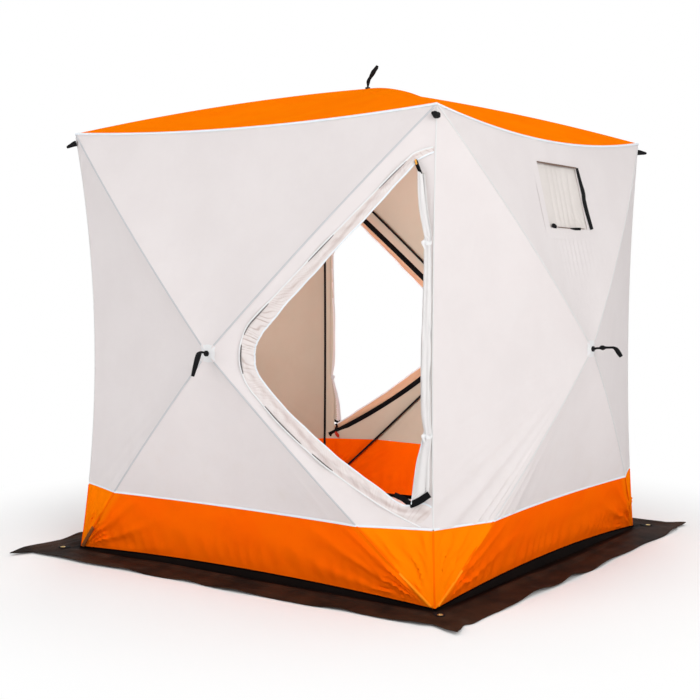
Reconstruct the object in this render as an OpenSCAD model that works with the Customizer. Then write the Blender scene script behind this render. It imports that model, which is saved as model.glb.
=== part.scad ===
// Pop-up cube hut for ice fishing.
// Five hubs, one in each wall and one in the roof, push four bowed rods each against the
// corners, and the fabric panels are stretched over them. Both doors are zipped open,
// gathered and tied back at their corner. Millimetres, +Z up, origin on the ice at the centre.

/* [Overall] */
// Side of the square base, between the ground corners
base_w = 1800; // [1500:10:2200]
// Height of the four roof corners above the ice
eave_h = 1790; // [1600:10:2000]
// Height of the roof hub above the roof corners
roof_rise = 222; // [180:1:300]
// Distance that the front, right and left hubs are pushed out beyond their corners
wall_bulge = 190; // [150:1:240]
// Distance that the back hub is pushed out beyond its corners
back_bulge = 234; // [150:1:260]
// Outward bow of each rod at its middle
rod_bow = 22; // [10:1:30]

/* [Fabric] */
// Thickness of every fabric panel
fabric_t = 3; // [2:0.5:4]
// Height of the coloured band round the foot of the walls
band_h = 286; // [200:1:320]
// Inward bow of the front left corner seam
bow_front_left = 70; // [20:1:80]
// Inward bow of the front right corner seam
bow_front_right = 50; // [20:1:80]
// Inward bow of the back right corner seam
bow_back_right = 36; // [20:1:80]
// Inward bow of the back left corner seam
bow_back_left = 50; // [20:1:80]
// Sag of the roof edge over the two door walls
eave_sag_door = 32; // [10:1:80]
// Sag of the roof edge over the two window walls
eave_sag_window = 62; // [10:1:80]
// Lift of the foot of the two door walls, halfway along
base_rise_door = 34; // [10:1:70]
// Lift of the foot of the two window walls, halfway along
base_rise_window = 56; // [10:1:70]
// Width of the snow skirt that lies on the ice
skirt_w = 190; // [120:1:260]

/* [Doors] */
// Drop from the roof corner to the top end of the door zip
door_top_drop = 135; // [120:1:240]
// Height of the bottom end of the door zip above the band
door_bottom_gap = 20; // [18:1:120]
// Distance from the hub to the point where the two zip lines would meet
door_apex_x = 70; // [60:1:140]
// Radius of the turn between the two zip lines
door_apex_r = 175; // [120:1:200]
// Sag of the lower zip line at its middle
door_sag = 44; // [0:1:60]
// Distance from the corner seam to the hinge edge of the doorway
door_hinge_inset = 28; // [20:1:40]
// Width of the storm flap, over the wall and past the zip
flap_w = 50; // [40:1:60]
// Part of the storm flap's width that is sewn to the wall
flap_sewn_w = 8; // [6:1:20]
// Width of the zip tape
zip_w = 24; // [18:1:30]
// Thickness of the zip tape
zip_t = 2; // [1.5:0.5:3]
// Width of the gathered door at its middle
roll_w = 46; // [36:1:52]
// Depth of the gathered door
roll_d = 38; // [28:1:50]
// Distance from the doorway's hinge edge to the middle of the gathered door, towards the corner
roll_shift = 12; // [0:1:16]
// Distance by which its two ends lean the other way, into the doorway
roll_lean = 12; // [0:1:16]
// Drop from the top end of the zip to the top of the gathered door
roll_top_gap = 50; // [20:1:60]
// Height of the foot of the gathered door above the bottom end of the zip
roll_foot_gap = 84; // [20:1:120]

/* [Windows] */
// Clear width of the window
window_w = 354; // [260:1:400]
// Clear height of the window
window_h = 258; // [180:1:280]
// Drop from the roof corner to the middle of the window
window_drop = 284; // [250:1:330]
// Margin by which the blind behind the window overlaps it
blind_margin = 30; // [20:1:40]

/* [Frame] */
// Diameter of the rods
rod_d = 11; // [8:0.5:12]
// Diameter of the ferrule on the hub end of each rod
ferrule_d = 14; // [13:0.5:15]
// Length of that ferrule
ferrule_l = 60; // [40:1:80]
// Radius of a hub's body
hub_r = 34; // [32:1:38]
// Thickness of a hub's body
hub_t = 16; // [14:1:20]
// Distance from a hub's axis to each rod's pivot pin
pivot_r = 24; // [22:1:26]
// Diameter of the pivot pins
pin_d = 4; // [3:0.5:5]
// Diameter of the bolt that holds a hub to the fabric
bolt_d = 8; // [6:0.5:10]
// Radius of the knob on the outside of that bolt
knob_r = 11; // [10:0.5:14]
// Outer diameter of the corner sockets
socket_d = 16; // [14:0.5:18]
// Length of the corner sockets
socket_l = 40; // [30:1:60]
// Width of the pull straps
strap_w = 20; // [15:1:25]

/* [Ground corners] */
// Length of the peg tabs
tab_l = 96; // [80:1:120]
// Width of the peg tabs
tab_w = 36; // [30:1:44]
// Bore of the eyelet in a peg tab
eyelet_d = 12; // [10:0.5:14]
// Outer diameter of the eyelet
eyelet_rim_d = 24; // [20:0.5:28]

/* [Hidden] */

// Wall numbers, counted anticlockwise seen from above. Wall i stands between corners i and i + 1.
FRONT = 0;
RIGHT = 1;
BACK = 2;
LEFT = 3;

white = [0.86, 0.85, 0.85];
orange = [0.98, 0.45, 0.02];
black = [0.06, 0.06, 0.06];
metal = [0.72, 0.62, 0.4];

seat_gap = 0.3;       // clearance between pieces that rest on each other
inside_gap = 0.8;     // clearance behind the slanted inside of a panel
edge_steps = 10;      // steps along the edge of a panel
skin_steps = 7;       // steps from the hub to the edge
bolt_hole_r = 9;      // hole in the fabric round a hub's bolt
hub_front = 12.5;     // depth of the front of a hub's body behind the point of the fabric
pivot_depth = 19.5;   // depth of the pivot pins behind the point of the fabric
corner_inset = 18;    // distance from a fabric corner to the middle of its socket, on each axis
socket_block = 20;    // side of the block that joins the sockets of a corner
socket_from = 11.5;   // distance from that block's middle to the closed end of a socket
rod_end_gap = 15;     // distance from that block's middle to the end of a rod
socket_fit = 0.15;    // radial clearance of a rod in its socket
pin_fit = 0.2;        // radial clearance of a pin in its ferrule
knob_h = 7;           // thickness of the knob on a hub's bolt
knob_seat = 1.4;      // depth of the knob's underside behind the point of the fabric
corner_slope = 0.45;  // steepest slope of a panel beside its corner seam

half_w = base_w / 2;
hub_z = eave_h / 2;
roof_hub_point = [0, 0, eave_h + roof_rise];
corner_bows = [bow_front_left, bow_front_right, bow_back_right, bow_back_left];

// Shapes of the fabric

function hump(t) = 4 * t * (1 - t);
function mix(a, b, t) = a + (b - a) * t;
function steps(n) = [for (k = [0:n]) k / n];
function is_door_wall(i) = i % 2 == 0;
function eave_sag(i) = is_door_wall(i) ? eave_sag_door : eave_sag_window;
function base_rise(i) = is_door_wall(i) ? base_rise_door : base_rise_window;
function corner_bow(i, side) = corner_bows[side < 0 ? i : (i + 1) % 4];
function hub(i) = [0, -half_w - (i % 4 == BACK ? back_bulge : wall_bulge), hub_z];

// Edges of wall i, in the frame where that wall faces -Y and side is -1 for left and 1 for right
function seam_x(bow, z) = half_w - bow / sqrt(2) * hump(z / eave_h);
function seam(i, side, t) =
    let (x = seam_x(corner_bow(i, side), eave_h * t)) [side * x, -x, eave_h * t];
function eave(i, t) = [half_w * (2 * t - 1), -half_w, eave_h - eave_sag(i) * hump(t)];
function foot(i, t) = [half_w * (2 * t - 1), -half_w, base_rise(i) * hump(t)];

// Way from the outer to the inner face at a corner and along the edges, in fabric thicknesses
function top_mitre(side) = [-side, 1, -1];
function foot_mitre(side) = [-side, 1, 0];
function seam_mitre(side, t) = mix(foot_mitre(side), top_mitre(side), t);
function eave_mitre(t) = mix(top_mitre(-1), top_mitre(1), t);
function base_mitre(t) = mix(foot_mitre(-1), foot_mitre(1), t);

// Skin from a hub to a point of an edge: straight, but bowed with the rods beside the seams
function rod_share(t) = pow(1 - 2 * t, 2);
function skin(middle, out, edge, v, t) =
    mix(middle, edge, v) + out * rod_bow * hump(v) * rod_share(t);
function skin_in(middle, out, edge, mitre, v, t) =
    skin(middle, out, edge, v, t) + fabric_t * mix(-out, mitre, v);
function skin_rows(middle, edge) =
    let (first = bolt_hole_r / norm(edge - middle))
    [for (k = steps(skin_steps)) mix(first, 1, k)];

// Depth of the wall's outer face at a point of its right-hand panel: the point's ray from the
// hub meets the corner seam at height t, where a t^2 - b t + c = 0
function smaller_root(a, b, c) = 2 * c / (b + sqrt(b * b - 4 * a * c));
function side_face_y(i, x, z) =
    let (
        bow = corner_bow(i, 1),
        slope = (z - hub_z) / x,
        a = slope * 4 * bow / sqrt(2),
        t = smaller_root(a, eave_h + a, hub_z + slope * half_w),
        edge_x = seam_x(bow, eave_h * t),
        v = x / edge_x
    )
    mix(hub(i).y, -edge_x, v) - rod_bow * hump(v) * rod_share(t);
// The same for the panel over the hub, whose rays meet the roof's edge
function top_face_y(i, x, z) =
    let (
        slope = x / (z - hub_z),
        a = 4 * slope * eave_sag(i),
        t = smaller_root(a, a + base_w, slope * (eave_h - hub_z) + half_w),
        v = (z - hub_z) / (eave(i, t).z - hub_z)
    )
    mix(hub(i).y, -half_w, v) - rod_bow * hump(v) * rod_share(t);
// Inner faces of the same panels
function side_back_y(i, x, z) =
    let (shift = fabric_t * x / half_w)
    side_face_y(i, x + shift, z + shift * z / eave_h) + fabric_t;
function top_back_y(i, x, z) =
    let (shift = fabric_t * (z - hub_z) / (eave_h - hub_z))
    top_face_y(i, x + fabric_t * x / half_w, z + shift) + fabric_t;

// Closed sheet between two grids of points with the same rows and columns
module sheet(outer, inner, flip = false, ring = false) {
    rows = len(outer);
    cols = len(outer[0]);
    under = rows * cols;
    last = ring ? rows - 1 : rows - 2;
    function id(i, j) = (i % rows) * cols + j;
    faces = [
        for (i = [0:last]) each concat(
            [for (j = [0:cols - 2]) each [
                [id(i, j), id(i, j + 1), id(i + 1, j + 1)],
                [id(i, j), id(i + 1, j + 1), id(i + 1, j)],
                [under + id(i, j), under + id(i + 1, j + 1), under + id(i, j + 1)],
                [under + id(i, j), under + id(i + 1, j), under + id(i + 1, j + 1)]
            ]],
            [
                [id(i, 0), id(i + 1, 0), under + id(i + 1, 0)],
                [id(i, 0), under + id(i + 1, 0), under + id(i, 0)],
                [id(i, cols - 1), under + id(i + 1, cols - 1), id(i + 1, cols - 1)],
                [id(i, cols - 1), under + id(i, cols - 1), under + id(i + 1, cols - 1)]
            ]
        ),
        for (j = [0:cols - 2]) if (!ring) each [
            [id(0, j), under + id(0, j + 1), id(0, j + 1)],
            [id(0, j), under + id(0, j), under + id(0, j + 1)],
            [id(rows - 1, j), id(rows - 1, j + 1), under + id(rows - 1, j + 1)],
            [id(rows - 1, j), under + id(rows - 1, j + 1), under + id(rows - 1, j)]
        ]
    ];
    turned = [for (f = faces) flip ? [f[0], f[2], f[1]] : f];
    polyhedron(concat([for (row = outer) each row], [for (row = inner) each row]), turned);
}

// Closed solid through a row of rings with the same number of points
module loft(rings) {
    n = len(rings[0]);
    last = len(rings) - 1;
    points = [for (ring = rings) each ring];
    walls = [
        for (i = [0:last - 1], j = [0:n - 1]) each [
            [i * n + j, i * n + (j + 1) % n, (i + 1) * n + (j + 1) % n],
            [i * n + j, (i + 1) * n + (j + 1) % n, (i + 1) * n + j]
        ]
    ];
    ends = [[for (j = [0:n - 1]) n - 1 - j], [for (j = [0:n - 1]) last * n + j]];
    polyhedron(points, concat(walls, ends));
}

module on_wall(i) {
    rotate([0, 0, 90 * i]) children();
}

module below_band() {
    translate([-base_w, -base_w, -base_w]) cube([2 * base_w, 2 * base_w, base_w + band_h]);
}

// Fabric panels

module side_skin(i, side) {
    out = [0, -1, 0];
    outer = [for (t = steps(edge_steps)) let (e = seam(i, side, t))
        [for (v = skin_rows(hub(i), e)) skin(hub(i), out, e, v, t)]];
    inner = [for (t = steps(edge_steps)) let (e = seam(i, side, t))
        [for (v = skin_rows(hub(i), e)) skin_in(hub(i), out, e, seam_mitre(side, t), v, t)]];
    sheet(outer, inner, flip = side < 0);
}

module top_skin(i) {
    out = [0, -1, 0];
    outer = [for (t = steps(edge_steps)) let (e = eave(i, t))
        [for (v = skin_rows(hub(i), e)) skin(hub(i), out, e, v, t)]];
    inner = [for (t = steps(edge_steps)) let (e = eave(i, t))
        [for (v = skin_rows(hub(i), e)) skin_in(hub(i), out, e, eave_mitre(t), v, t)]];
    sheet(outer, inner, flip = true);
}

module bottom_skin(i) {
    out = [0, -1, 0];
    outer = [for (t = steps(edge_steps)) let (e = foot(i, t))
        [for (v = skin_rows(hub(i), e)) skin(hub(i), out, e, v, t)]];
    inner = [for (t = steps(edge_steps)) let (e = foot(i, t))
        [for (v = skin_rows(hub(i), e)) skin_in(hub(i), out, e, base_mitre(t), v, t)]];
    sheet(outer, inner);
}

module top_panel(i) {
    color(white) on_wall(i) top_skin(i);
}

module window_panel(i) {
    color(white) on_wall(i) difference() {
        top_skin(i);
        window_cut();
    }
}

module side_panel(i, side) {
    color(white) on_wall(i) difference() {
        side_skin(i, side);
        below_band();
    }
}

module bottom_panel(i) {
    color(white) on_wall(i) difference() {
        bottom_skin(i);
        below_band();
    }
}

module band(i) {
    color(orange) on_wall(i) intersection() {
        union() {
            bottom_skin(i);
            side_skin(i, -1);
            side_skin(i, 1);
        }
        below_band();
    }
}

function turn_z(p, a) = [p.x * cos(a) - p.y * sin(a), p.x * sin(a) + p.y * cos(a), p.z];

module roof_canopy() {
    out = [0, 0, 1];
    spans = [for (i = [0:3], k = [0:edge_steps - 1]) [i, k / edge_steps]];
    outer = [for (p = spans) let (e = turn_z(eave(p[0], p[1]), 90 * p[0]))
        [for (v = skin_rows(roof_hub_point, e)) skin(roof_hub_point, out, e, v, p[1])]];
    inner = [for (p = spans)
        let (e = turn_z(eave(p[0], p[1]), 90 * p[0]), m = turn_z(eave_mitre(p[1]), 90 * p[0]))
        [for (v = skin_rows(roof_hub_point, e)) skin_in(roof_hub_point, out, e, m, v, p[1])]];
    color(orange) sheet(outer, inner, ring = true);
}

// Snow skirt: a lip on the foot of the wall, a drop to the ice, and a flat flap outwards

lip_h = 8;
drop_w = 10;

module snow_skirt(i) {
    function line(t, reach, z) = [(half_w + reach) * (2 * t - 1), -(half_w + reach), z];
    function lower(t) = let (rise = base_rise(i) * hump(t)) [
        line(t, seat_gap + lip_h * corner_slope, rise + lip_h),
        line(t, seat_gap, rise),
        line(t, drop_w, 0),
        line(t, skirt_w, 0)
    ];
    function upper(t) = let (rise = base_rise(i) * hump(t)) [
        line(t, seat_gap + lip_h * corner_slope + fabric_t, rise + lip_h),
        line(t, seat_gap + fabric_t, rise + fabric_t / 2),
        line(t, drop_w + fabric_t, fabric_t),
        line(t, skirt_w, fabric_t)
    ];
    color(black) on_wall(i) difference() {
        sheet([for (t = steps(edge_steps)) upper(t)], [for (t = steps(edge_steps)) lower(t)]);
        for (side = [-1, 1]) peg_axis(side) cylinder(d = eyelet_rim_d, h = base_w, center = true, $fn = 48);
    }
}

// Doors

door_top_z = eave_h - door_top_drop;
door_bottom_z = band_h + door_bottom_gap;
function hinge_x(i, z) = seam_x(corner_bow(i, 1), z) - door_hinge_inset;

// Edge of the doorway as [point, way into the doorway], from the top end round to the bottom end:
// a straight line, a round turn, and a parabola that `pull` draws down
line_steps = 8;
arc_steps = 2 * skin_steps + edge_steps - 2 * line_steps;    // stations shared with the panel's outline
function unit(p) = p / norm(p);
function door_edge(i) =
    let (
        apex = [door_apex_x, hub_z],
        top = [hinge_x(i, door_top_z), door_top_z],
        bottom = [hinge_x(i, door_bottom_z), door_bottom_z],
        pull = (apex + bottom) / 2 - [0, 2 * door_sag],
        up = unit(top - apex),
        down = unit(pull - apex),
        up_turn = atan2(up.y, up.x),
        down_turn = atan2(down.y, down.x),
        half_angle = (up_turn - down_turn) / 2,
        middle_turn = (up_turn + down_turn) / 2,
        centre = apex + door_apex_r / sin(half_angle) * [cos(middle_turn), sin(middle_turn)],
        reach = door_apex_r / tan(half_angle),
        turn_end = apex + down * reach,
        way_up = [up.y, -up.x]
    )
    concat(
        [for (k = [0:line_steps - 1]) [mix(top, apex + up * reach, k / line_steps), way_up]],
        [for (k = steps(arc_steps))
            let (a = mix(90 + up_turn, 270 + down_turn, k), way = -[cos(a), sin(a)])
            [centre - door_apex_r * way, way]],
        [for (n = [1:line_steps])
            let (
                k = n / line_steps,
                from = mix(turn_end, pull, k),
                to = mix(pull, bottom, k),
                way = unit(to - from)
            )
            [mix(from, to, k), [-way.y, way.x]]]
    );

// Outline of the doorway: its zipped edge, then its hinge edge from the bottom end up
function doorway(i) = concat(
    [for (p = door_edge(i)) p[0]],
    [for (k = [1:edge_steps - 1])
        let (z = mix(door_bottom_z, door_top_z, k / edge_steps)) [hinge_x(i, z), z]]
);

// Outline of the panel round it as [share from the hub, share of the seam's height]: in along the
// upper rod, round the hub's bolt, out along the lower rod and up the corner seam
function panel_outline(i) =
    let (top = skin_rows(hub(i), seam(i, 1, 1)), foot = skin_rows(hub(i), seam(i, 1, 0)))
    concat(
        [for (k = [skin_steps:-1:1]) [top[k], 1]],
        [for (k = [edge_steps:-1:0])
            let (t = k / edge_steps) [skin_rows(hub(i), seam(i, 1, t))[0], t]],
        [for (k = [1:skin_steps]) [foot[k], 0]],
        [for (k = [1:edge_steps - 1]) [1, k / edge_steps]]
    );

// Panel with a doorway: a ring of cloth from the panel's outline in to the doorway's
margin_steps = 3;
module door_panel(i) {
    out = [0, -1, 0];
    outline = panel_outline(i);
    inside = doorway(i);
    function edge(n) = skin(hub(i), out, seam(i, 1, outline[n][1]), outline[n][0], outline[n][1]);
    function back(n) =
        let (v = outline[n][0], t = outline[n][1])
        skin_in(hub(i), out, seam(i, 1, t), seam_mitre(1, t), v, t);
    rows = [for (n = [0:len(inside) - 1]) [for (k = [1:margin_steps])
        mix([edge(n).x, edge(n).z], inside[n], k / margin_steps)]];
    face = on_face(i, rows, 0);
    lining = on_back(i, rows, 0);
    color(white) on_wall(i) difference() {
        sheet(
            [for (n = [0:len(rows) - 1]) concat([edge(n)], face[n])],
            [for (n = [0:len(rows) - 1]) concat([back(n)], lining[n])],
            ring = true
        );
        below_band();
    }
}

// Points across a strip at each station of the doorway's edge, `way` into the doorway
function across_edge(i, from, to) =
    [for (p = door_edge(i)) [for (k = [0, 0.5, 1]) p[0] + mix(from, to, k) * p[1]]];
function on_face(i, rows, out) =
    [for (row = rows) [for (q = row) [q.x, side_face_y(i, q.x, q.y) - out, q.y]]];
function on_back(i, rows, depth) =
    [for (row = rows) [for (q = row) [q.x, side_back_y(i, q.x, q.y) + depth, q.y]]];

module storm_flap(i) {
    rows = across_edge(i, -flap_sewn_w, flap_w - flap_sewn_w);
    color(white) on_wall(i)
        sheet(on_face(i, rows, seat_gap + fabric_t), on_face(i, rows, seat_gap));
}

module door_zip(i) {
    rows = across_edge(i, -zip_w / 2, zip_w / 2);
    color(black) on_wall(i)
        sheet(on_back(i, rows, inside_gap), on_back(i, rows, inside_gap + zip_t));
}

// Door gathered along its hinge edge: wide at the foot, narrow at the top, and tied at the corner
module door_roll(i) {
    foot_flare = 0.5;
    top_taper = 0.4;
    round_steps = 12;
    function ring(w) =
        let (
            z = mix(door_bottom_z + roll_foot_gap, door_top_z - roll_top_gap, w),
            tied = min(1, 1.6 * hump(w)),
            half = roll_w / 2 * (1 + (1 - tied) * mix(foot_flare, -top_taper, w)),
            middle = hinge_x(i, z) + mix(-roll_lean, roll_shift, tied)
        )
        [for (k = [0:round_steps - 1])
            let (
                a = 360 * k / round_steps,
                x = middle + half * cos(a),
                face = side_face_y(i, x, z) - seat_gap - fabric_t - seat_gap
            )
            [x, face - roll_d / 2 * (1 + sin(a)), z]];
    color(white) on_wall(i) loft([for (w = steps(edge_steps)) ring(w)]);
}

// Windows

window_z = eave_h - window_drop;

module window_cut() {
    translate([-window_w / 2, -base_w, window_z - window_h / 2])
        cube([window_w, base_w, window_h]);
}

module window_blind(i) {
    wide = window_w / 2 + blind_margin;
    tall = window_h / 2 + blind_margin;
    function grid(back) = [for (u = steps(edge_steps)) [for (v = steps(skin_steps))
        let (x = mix(-wide, wide, u), z = window_z + mix(-tall, tall, v))
        [x, top_back_y(i, x, z) + back, z]]];
    color(white) on_wall(i) sheet(grid(inside_gap), grid(inside_gap + fabric_t), flip = true);
}

// Frame: rods, hubs and corner sockets

// Sets +X along the line from a to b, with +Z as near as can be to `up`
module along(a, b, up) {
    x = unit(b - a);
    y = unit(cross(up, x));
    z = cross(x, y);
    multmatrix([
        [x.x, y.x, z.x, a.x],
        [x.y, y.y, z.y, a.y],
        [x.z, y.z, z.z, a.z],
        [0, 0, 0, 1]
    ]) children();
}

function wall_corner(side, top) = [side * half_w, -half_w, top > 0 ? eave_h : 0];
function socket_middle(side, top) =
    wall_corner(side, top) + corner_inset * [-side, 1, -top];
function wall_pivot(i, side, top) =
    let (to = wall_corner(side, top) - hub(i))
    hub(i) + [0, pivot_depth, 0] + pivot_r * unit([to.x, 0, to.z]);
function roof_pivot(side) = roof_hub_point - [0, 0, pivot_depth] + pivot_r * unit([side, -1, 0]);
function rod_end(pivot, middle) = middle + rod_end_gap * unit(pivot - middle);

// A rod is an arc over its chord
function arc_r(chord) = (chord * chord / 4 + rod_bow * rod_bow) / (2 * rod_bow);
function arc_turn(chord) = asin(chord / 2 / arc_r(chord));

module rod(chord) {
    r = arc_r(chord);
    turn = arc_turn(chord);
    difference() {
        union() {
            translate([chord / 2, 0, rod_bow - r]) rotate([90, 0, 0]) rotate([0, 0, 90 - turn])
                rotate_extrude(angle = 2 * turn, $fn = 720) translate([r, 0]) circle(d = rod_d, $fn = 24);
            rotate([0, -turn, 0]) rotate([0, 90, 0]) translate([0, 0, -ferrule_d / 2])
                cylinder(d = ferrule_d, h = ferrule_l, $fn = 32);
        }
        rotate([90, 0, 0]) cylinder(d = pin_d + 2 * pin_fit, h = 2 * ferrule_d, center = true, $fn = 24);
    }
}

module wall_rods(i) {
    color(black) on_wall(i) for (side = [-1, 1], top = [-1, 1]) {
        pivot = wall_pivot(i, side, top);
        end = rod_end(pivot, socket_middle(side, top));
        along(pivot, end, [0, -1, 0]) rod(norm(end - pivot));
    }
}

module roof_rods() {
    color(black) for (i = [0:3]) on_wall(i) {
        pivot = roof_pivot(1);
        end = rod_end(pivot, socket_middle(1, 1));
        along(pivot, end, [0, 0, 1]) rod(norm(end - pivot));
    }
}

// Hub with its axis along +Z, out of the fabric, and a slot and a pin for each rod
module hub_body(turns) {
    slot_w = ferrule_d + 1;
    slot_from = pivot_r - ferrule_d / 2 - 2;
    color(black) {
        difference() {
            translate([0, 0, -hub_front - hub_t]) cylinder(r = hub_r, h = hub_t, $fn = 64);
            for (a = turns) rotate([0, 0, a])
                translate([slot_from, -slot_w / 2, -hub_front - 2 * hub_t]) cube([hub_r, slot_w, 3 * hub_t]);
        }
        for (a = turns) rotate([0, 0, a]) translate([pivot_r, 0, -pivot_depth]) rotate([90, 0, 0])
            cylinder(d = pin_d, h = slot_w + pin_d, center = true, $fn = 24);
        translate([0, 0, -hub_front - 1]) cylinder(d = bolt_d, h = hub_front + knob_h - knob_seat, $fn = 32);
        translate([0, 0, -knob_seat]) cylinder(r = knob_r, h = knob_h, $fn = 48);
    }
}

// Turns a piece made along +Z to stand out of wall i at its hub
module out_of_wall(i) {
    on_wall(i) translate(hub(i)) rotate([90, 0, 0]) children();
}

module wall_hub(i) {
    turn = atan2(eave_h - hub_z, half_w);
    out_of_wall(i) hub_body([turn, 180 - turn, 180 + turn, -turn]);
}

module roof_hub() {
    translate(roof_hub_point) hub_body([45, 135, 225, 315]);
}

// Stiff webbing strap on a hub's knob, as [out, up, half thickness] along its length
strap_hanging = [[0, 0, 3], [26, 4, 3], [44, -6, 3.5], [54, -30, 5], [60, -84, 5]];
strap_draped = [[0, 0, 3], [10, 3, 2.5], [16, -12, 2.5], [17.4, -50, 3.5], [16.4, -86, 4.5]];
strap_level = [[0, 0, 3], [24, 4, 3], [37, 6, 6], [52, 7, 3], [84, 8, 3.5], [97, 0, 5], [116, -26, 6]];
strap_upright = [[0, 0, 3], [20, 2, 4], [30, 4, 5], [44, 12, 4], [62, 22, 6.5], [78, 34, 6], [94, 43, 4]];

module pull_strap(path) {
    last = len(path) - 1;
    function at(k) = [path[k][0], path[k][1]];
    function way(k) = let (d = unit(at(min(k + 1, last)) - at(max(k - 1, 0)))) [-d.y, d.x];
    outline = concat(
        [for (k = [0:last]) at(k) + way(k) * path[k][2]],
        [for (k = [last:-1:0]) at(k) - way(k) * path[k][2]]
    );
    translate([0, 0, knob_h - knob_seat + seat_gap]) rotate([0, -90, 0])
        linear_extrude(strap_w, center = true) polygon(outline);
}

module pull_straps() {
    color(black) {
        out_of_wall(FRONT) rotate([0, 0, -8]) pull_strap(strap_hanging);
        out_of_wall(RIGHT) pull_strap(strap_level);
        out_of_wall(BACK) pull_strap(strap_draped);
        out_of_wall(LEFT) pull_strap(strap_level);
        translate(roof_hub_point) rotate([0, 0, -60]) pull_strap(strap_upright);
    }
}

// Socket on one rod end, in the frame that along() gives that rod
module socket_tube(chord) {
    translate([chord, 0, 0]) rotate([0, arc_turn(chord), 0]) translate([rod_end_gap - socket_from, 0, 0])
        rotate([0, -90, 0]) cylinder(d = socket_d, h = socket_l, $fn = 32);
}

module socket_bore(chord) {
    translate([chord, 0, 0]) rotate([0, arc_turn(chord), 0]) translate([1, 0, 0])
        rotate([0, -90, 0]) cylinder(d = rod_d + 2 * socket_fit, h = 2 * socket_l, $fn = 32);
}

// Runs its children in the frame of each rod that ends at corner i; $chord is that rod's chord
module each_rod_at(i, top) {
    for (k = [0, 1]) {
        side = k == 0 ? -1 : 1;
        wall = k == 0 ? i : i + 3;
        pivot = wall_pivot(wall, side, top);
        end = rod_end(pivot, socket_middle(side, top));
        $chord = norm(end - pivot);
        on_wall(wall) along(pivot, end, [0, -1, 0]) children();
    }
    if (top > 0) {
        pivot = roof_pivot(1);
        end = rod_end(pivot, socket_middle(1, 1));
        $chord = norm(end - pivot);
        on_wall(i + 3) along(pivot, end, [0, 0, 1]) children();
    }
}

module corner_sockets() {
    color(black) for (i = [0:3], top = [-1, 1]) difference() {
        union() {
            on_wall(i) translate(socket_middle(-1, top)) cube(socket_block, center = true);
            each_rod_at(i, top) socket_tube($chord);
        }
        each_rod_at(i, top) socket_bore($chord);
    }
}

// Corner tabs, in a frame with +X along the corner's diagonal, out of the hut

module at_corner(i, x, z) {
    on_wall(i) translate([-x, -x, z]) rotate([0, 0, -135]) children();
}

// Room that the two walls take at a corner, with their steepest slope beside the seam
module corner_room(h) {
    spread = 45 + atan(corner_slope);
    reach = 4 * tab_l;
    translate([seat_gap, 0, -h]) linear_extrude(2 * h) polygon([
        [0, 0],
        reach * [-cos(spread), sin(spread)],
        reach * [-2, 0],
        reach * [-cos(spread), -sin(spread)]
    ]);
}

tab_drop = 40;     // depth of the tab below its roof corner
tab_reach = 46;    // length of the tab
tab_droop = 22;    // droop of the tab, in degrees

module top_corner_tabs() {
    color(black) for (i = [0:3]) {
        z = eave_h - tab_drop;
        at_corner(i, seam_x(corner_bows[i], z), z) difference() {
            rotate([0, tab_droop, 0]) hull() {
                translate([-6, -17, -14]) cube([12, 34, 28]);
                translate([tab_reach - 8, -11, -6]) cube([8, 22, 12]);
            }
            corner_room(tab_reach);
        }
    }
}

eyelet_from = 78;    // distance from the ground corner to the eyelet's middle
tab_from = 28;       // distance from the ground corner to the tab, past the skirt's drop
eyelet_lip = 1.5;    // height of the eyelet's rim over its tab
tab_z = fabric_t + seat_gap;

module peg_axis(side) {
    translate([side * (half_w + eyelet_from / sqrt(2)), -(half_w + eyelet_from / sqrt(2)), 0]) children();
}

module peg_tabs() {
    for (i = [0:3]) at_corner(i, half_w, tab_z) difference() {
        union() {
            color(black) hull() {
                translate([0, -tab_w / 2, 0]) cube([1, tab_w, fabric_t]);
                translate([tab_l - tab_w / 2, 0, 0]) cylinder(d = tab_w, h = fabric_t, $fn = 48);
            }
            color(metal) translate([eyelet_from, 0, -tab_z])
                cylinder(d = eyelet_rim_d - 1, h = tab_z + fabric_t + eyelet_lip, $fn = 48);
        }
        translate([eyelet_from, 0, 0]) cylinder(d = eyelet_d, h = tab_w, center = true, $fn = 48);
        translate([-tab_w, -tab_w, -tab_w]) cube([tab_w + tab_from, 2 * tab_w, 2 * tab_w]);
    }
}

roof_canopy();
top_panel(FRONT);  // front_top_panel
side_panel(FRONT, -1);  // front_left_panel
door_panel(FRONT);  // front_door_panel
bottom_panel(FRONT);  // front_bottom_panel
window_panel(RIGHT);  // right_window_panel
side_panel(RIGHT, -1);  // right_front_panel
side_panel(RIGHT, 1);  // right_back_panel
bottom_panel(RIGHT);  // right_bottom_panel
top_panel(BACK);  // back_top_panel
side_panel(BACK, -1);  // back_right_panel
door_panel(BACK);  // back_door_panel
bottom_panel(BACK);  // back_bottom_panel
window_panel(LEFT);  // left_window_panel
side_panel(LEFT, -1);  // left_back_panel
side_panel(LEFT, 1);  // left_front_panel
bottom_panel(LEFT);  // left_bottom_panel
band(FRONT);  // front_band
band(RIGHT);  // right_band
band(BACK);  // back_band
band(LEFT);  // left_band
snow_skirt(FRONT);  // front_snow_skirt
snow_skirt(RIGHT);  // right_snow_skirt
snow_skirt(BACK);  // back_snow_skirt
snow_skirt(LEFT);  // left_snow_skirt
storm_flap(FRONT);  // front_storm_flap
storm_flap(BACK);  // back_storm_flap
door_zip(FRONT);  // front_door_zip
door_zip(BACK);  // back_door_zip
door_roll(FRONT);  // front_door_roll
door_roll(BACK);  // back_door_roll
window_blind(RIGHT);  // right_window_blind
window_blind(LEFT);  // left_window_blind
wall_rods(FRONT);  // front_rods
wall_rods(RIGHT);  // right_rods
wall_rods(BACK);  // back_rods
wall_rods(LEFT);  // left_rods
roof_rods();
wall_hub(FRONT);  // front_hub
wall_hub(RIGHT);  // right_hub
wall_hub(BACK);  // back_hub
wall_hub(LEFT);  // left_hub
roof_hub();
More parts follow.
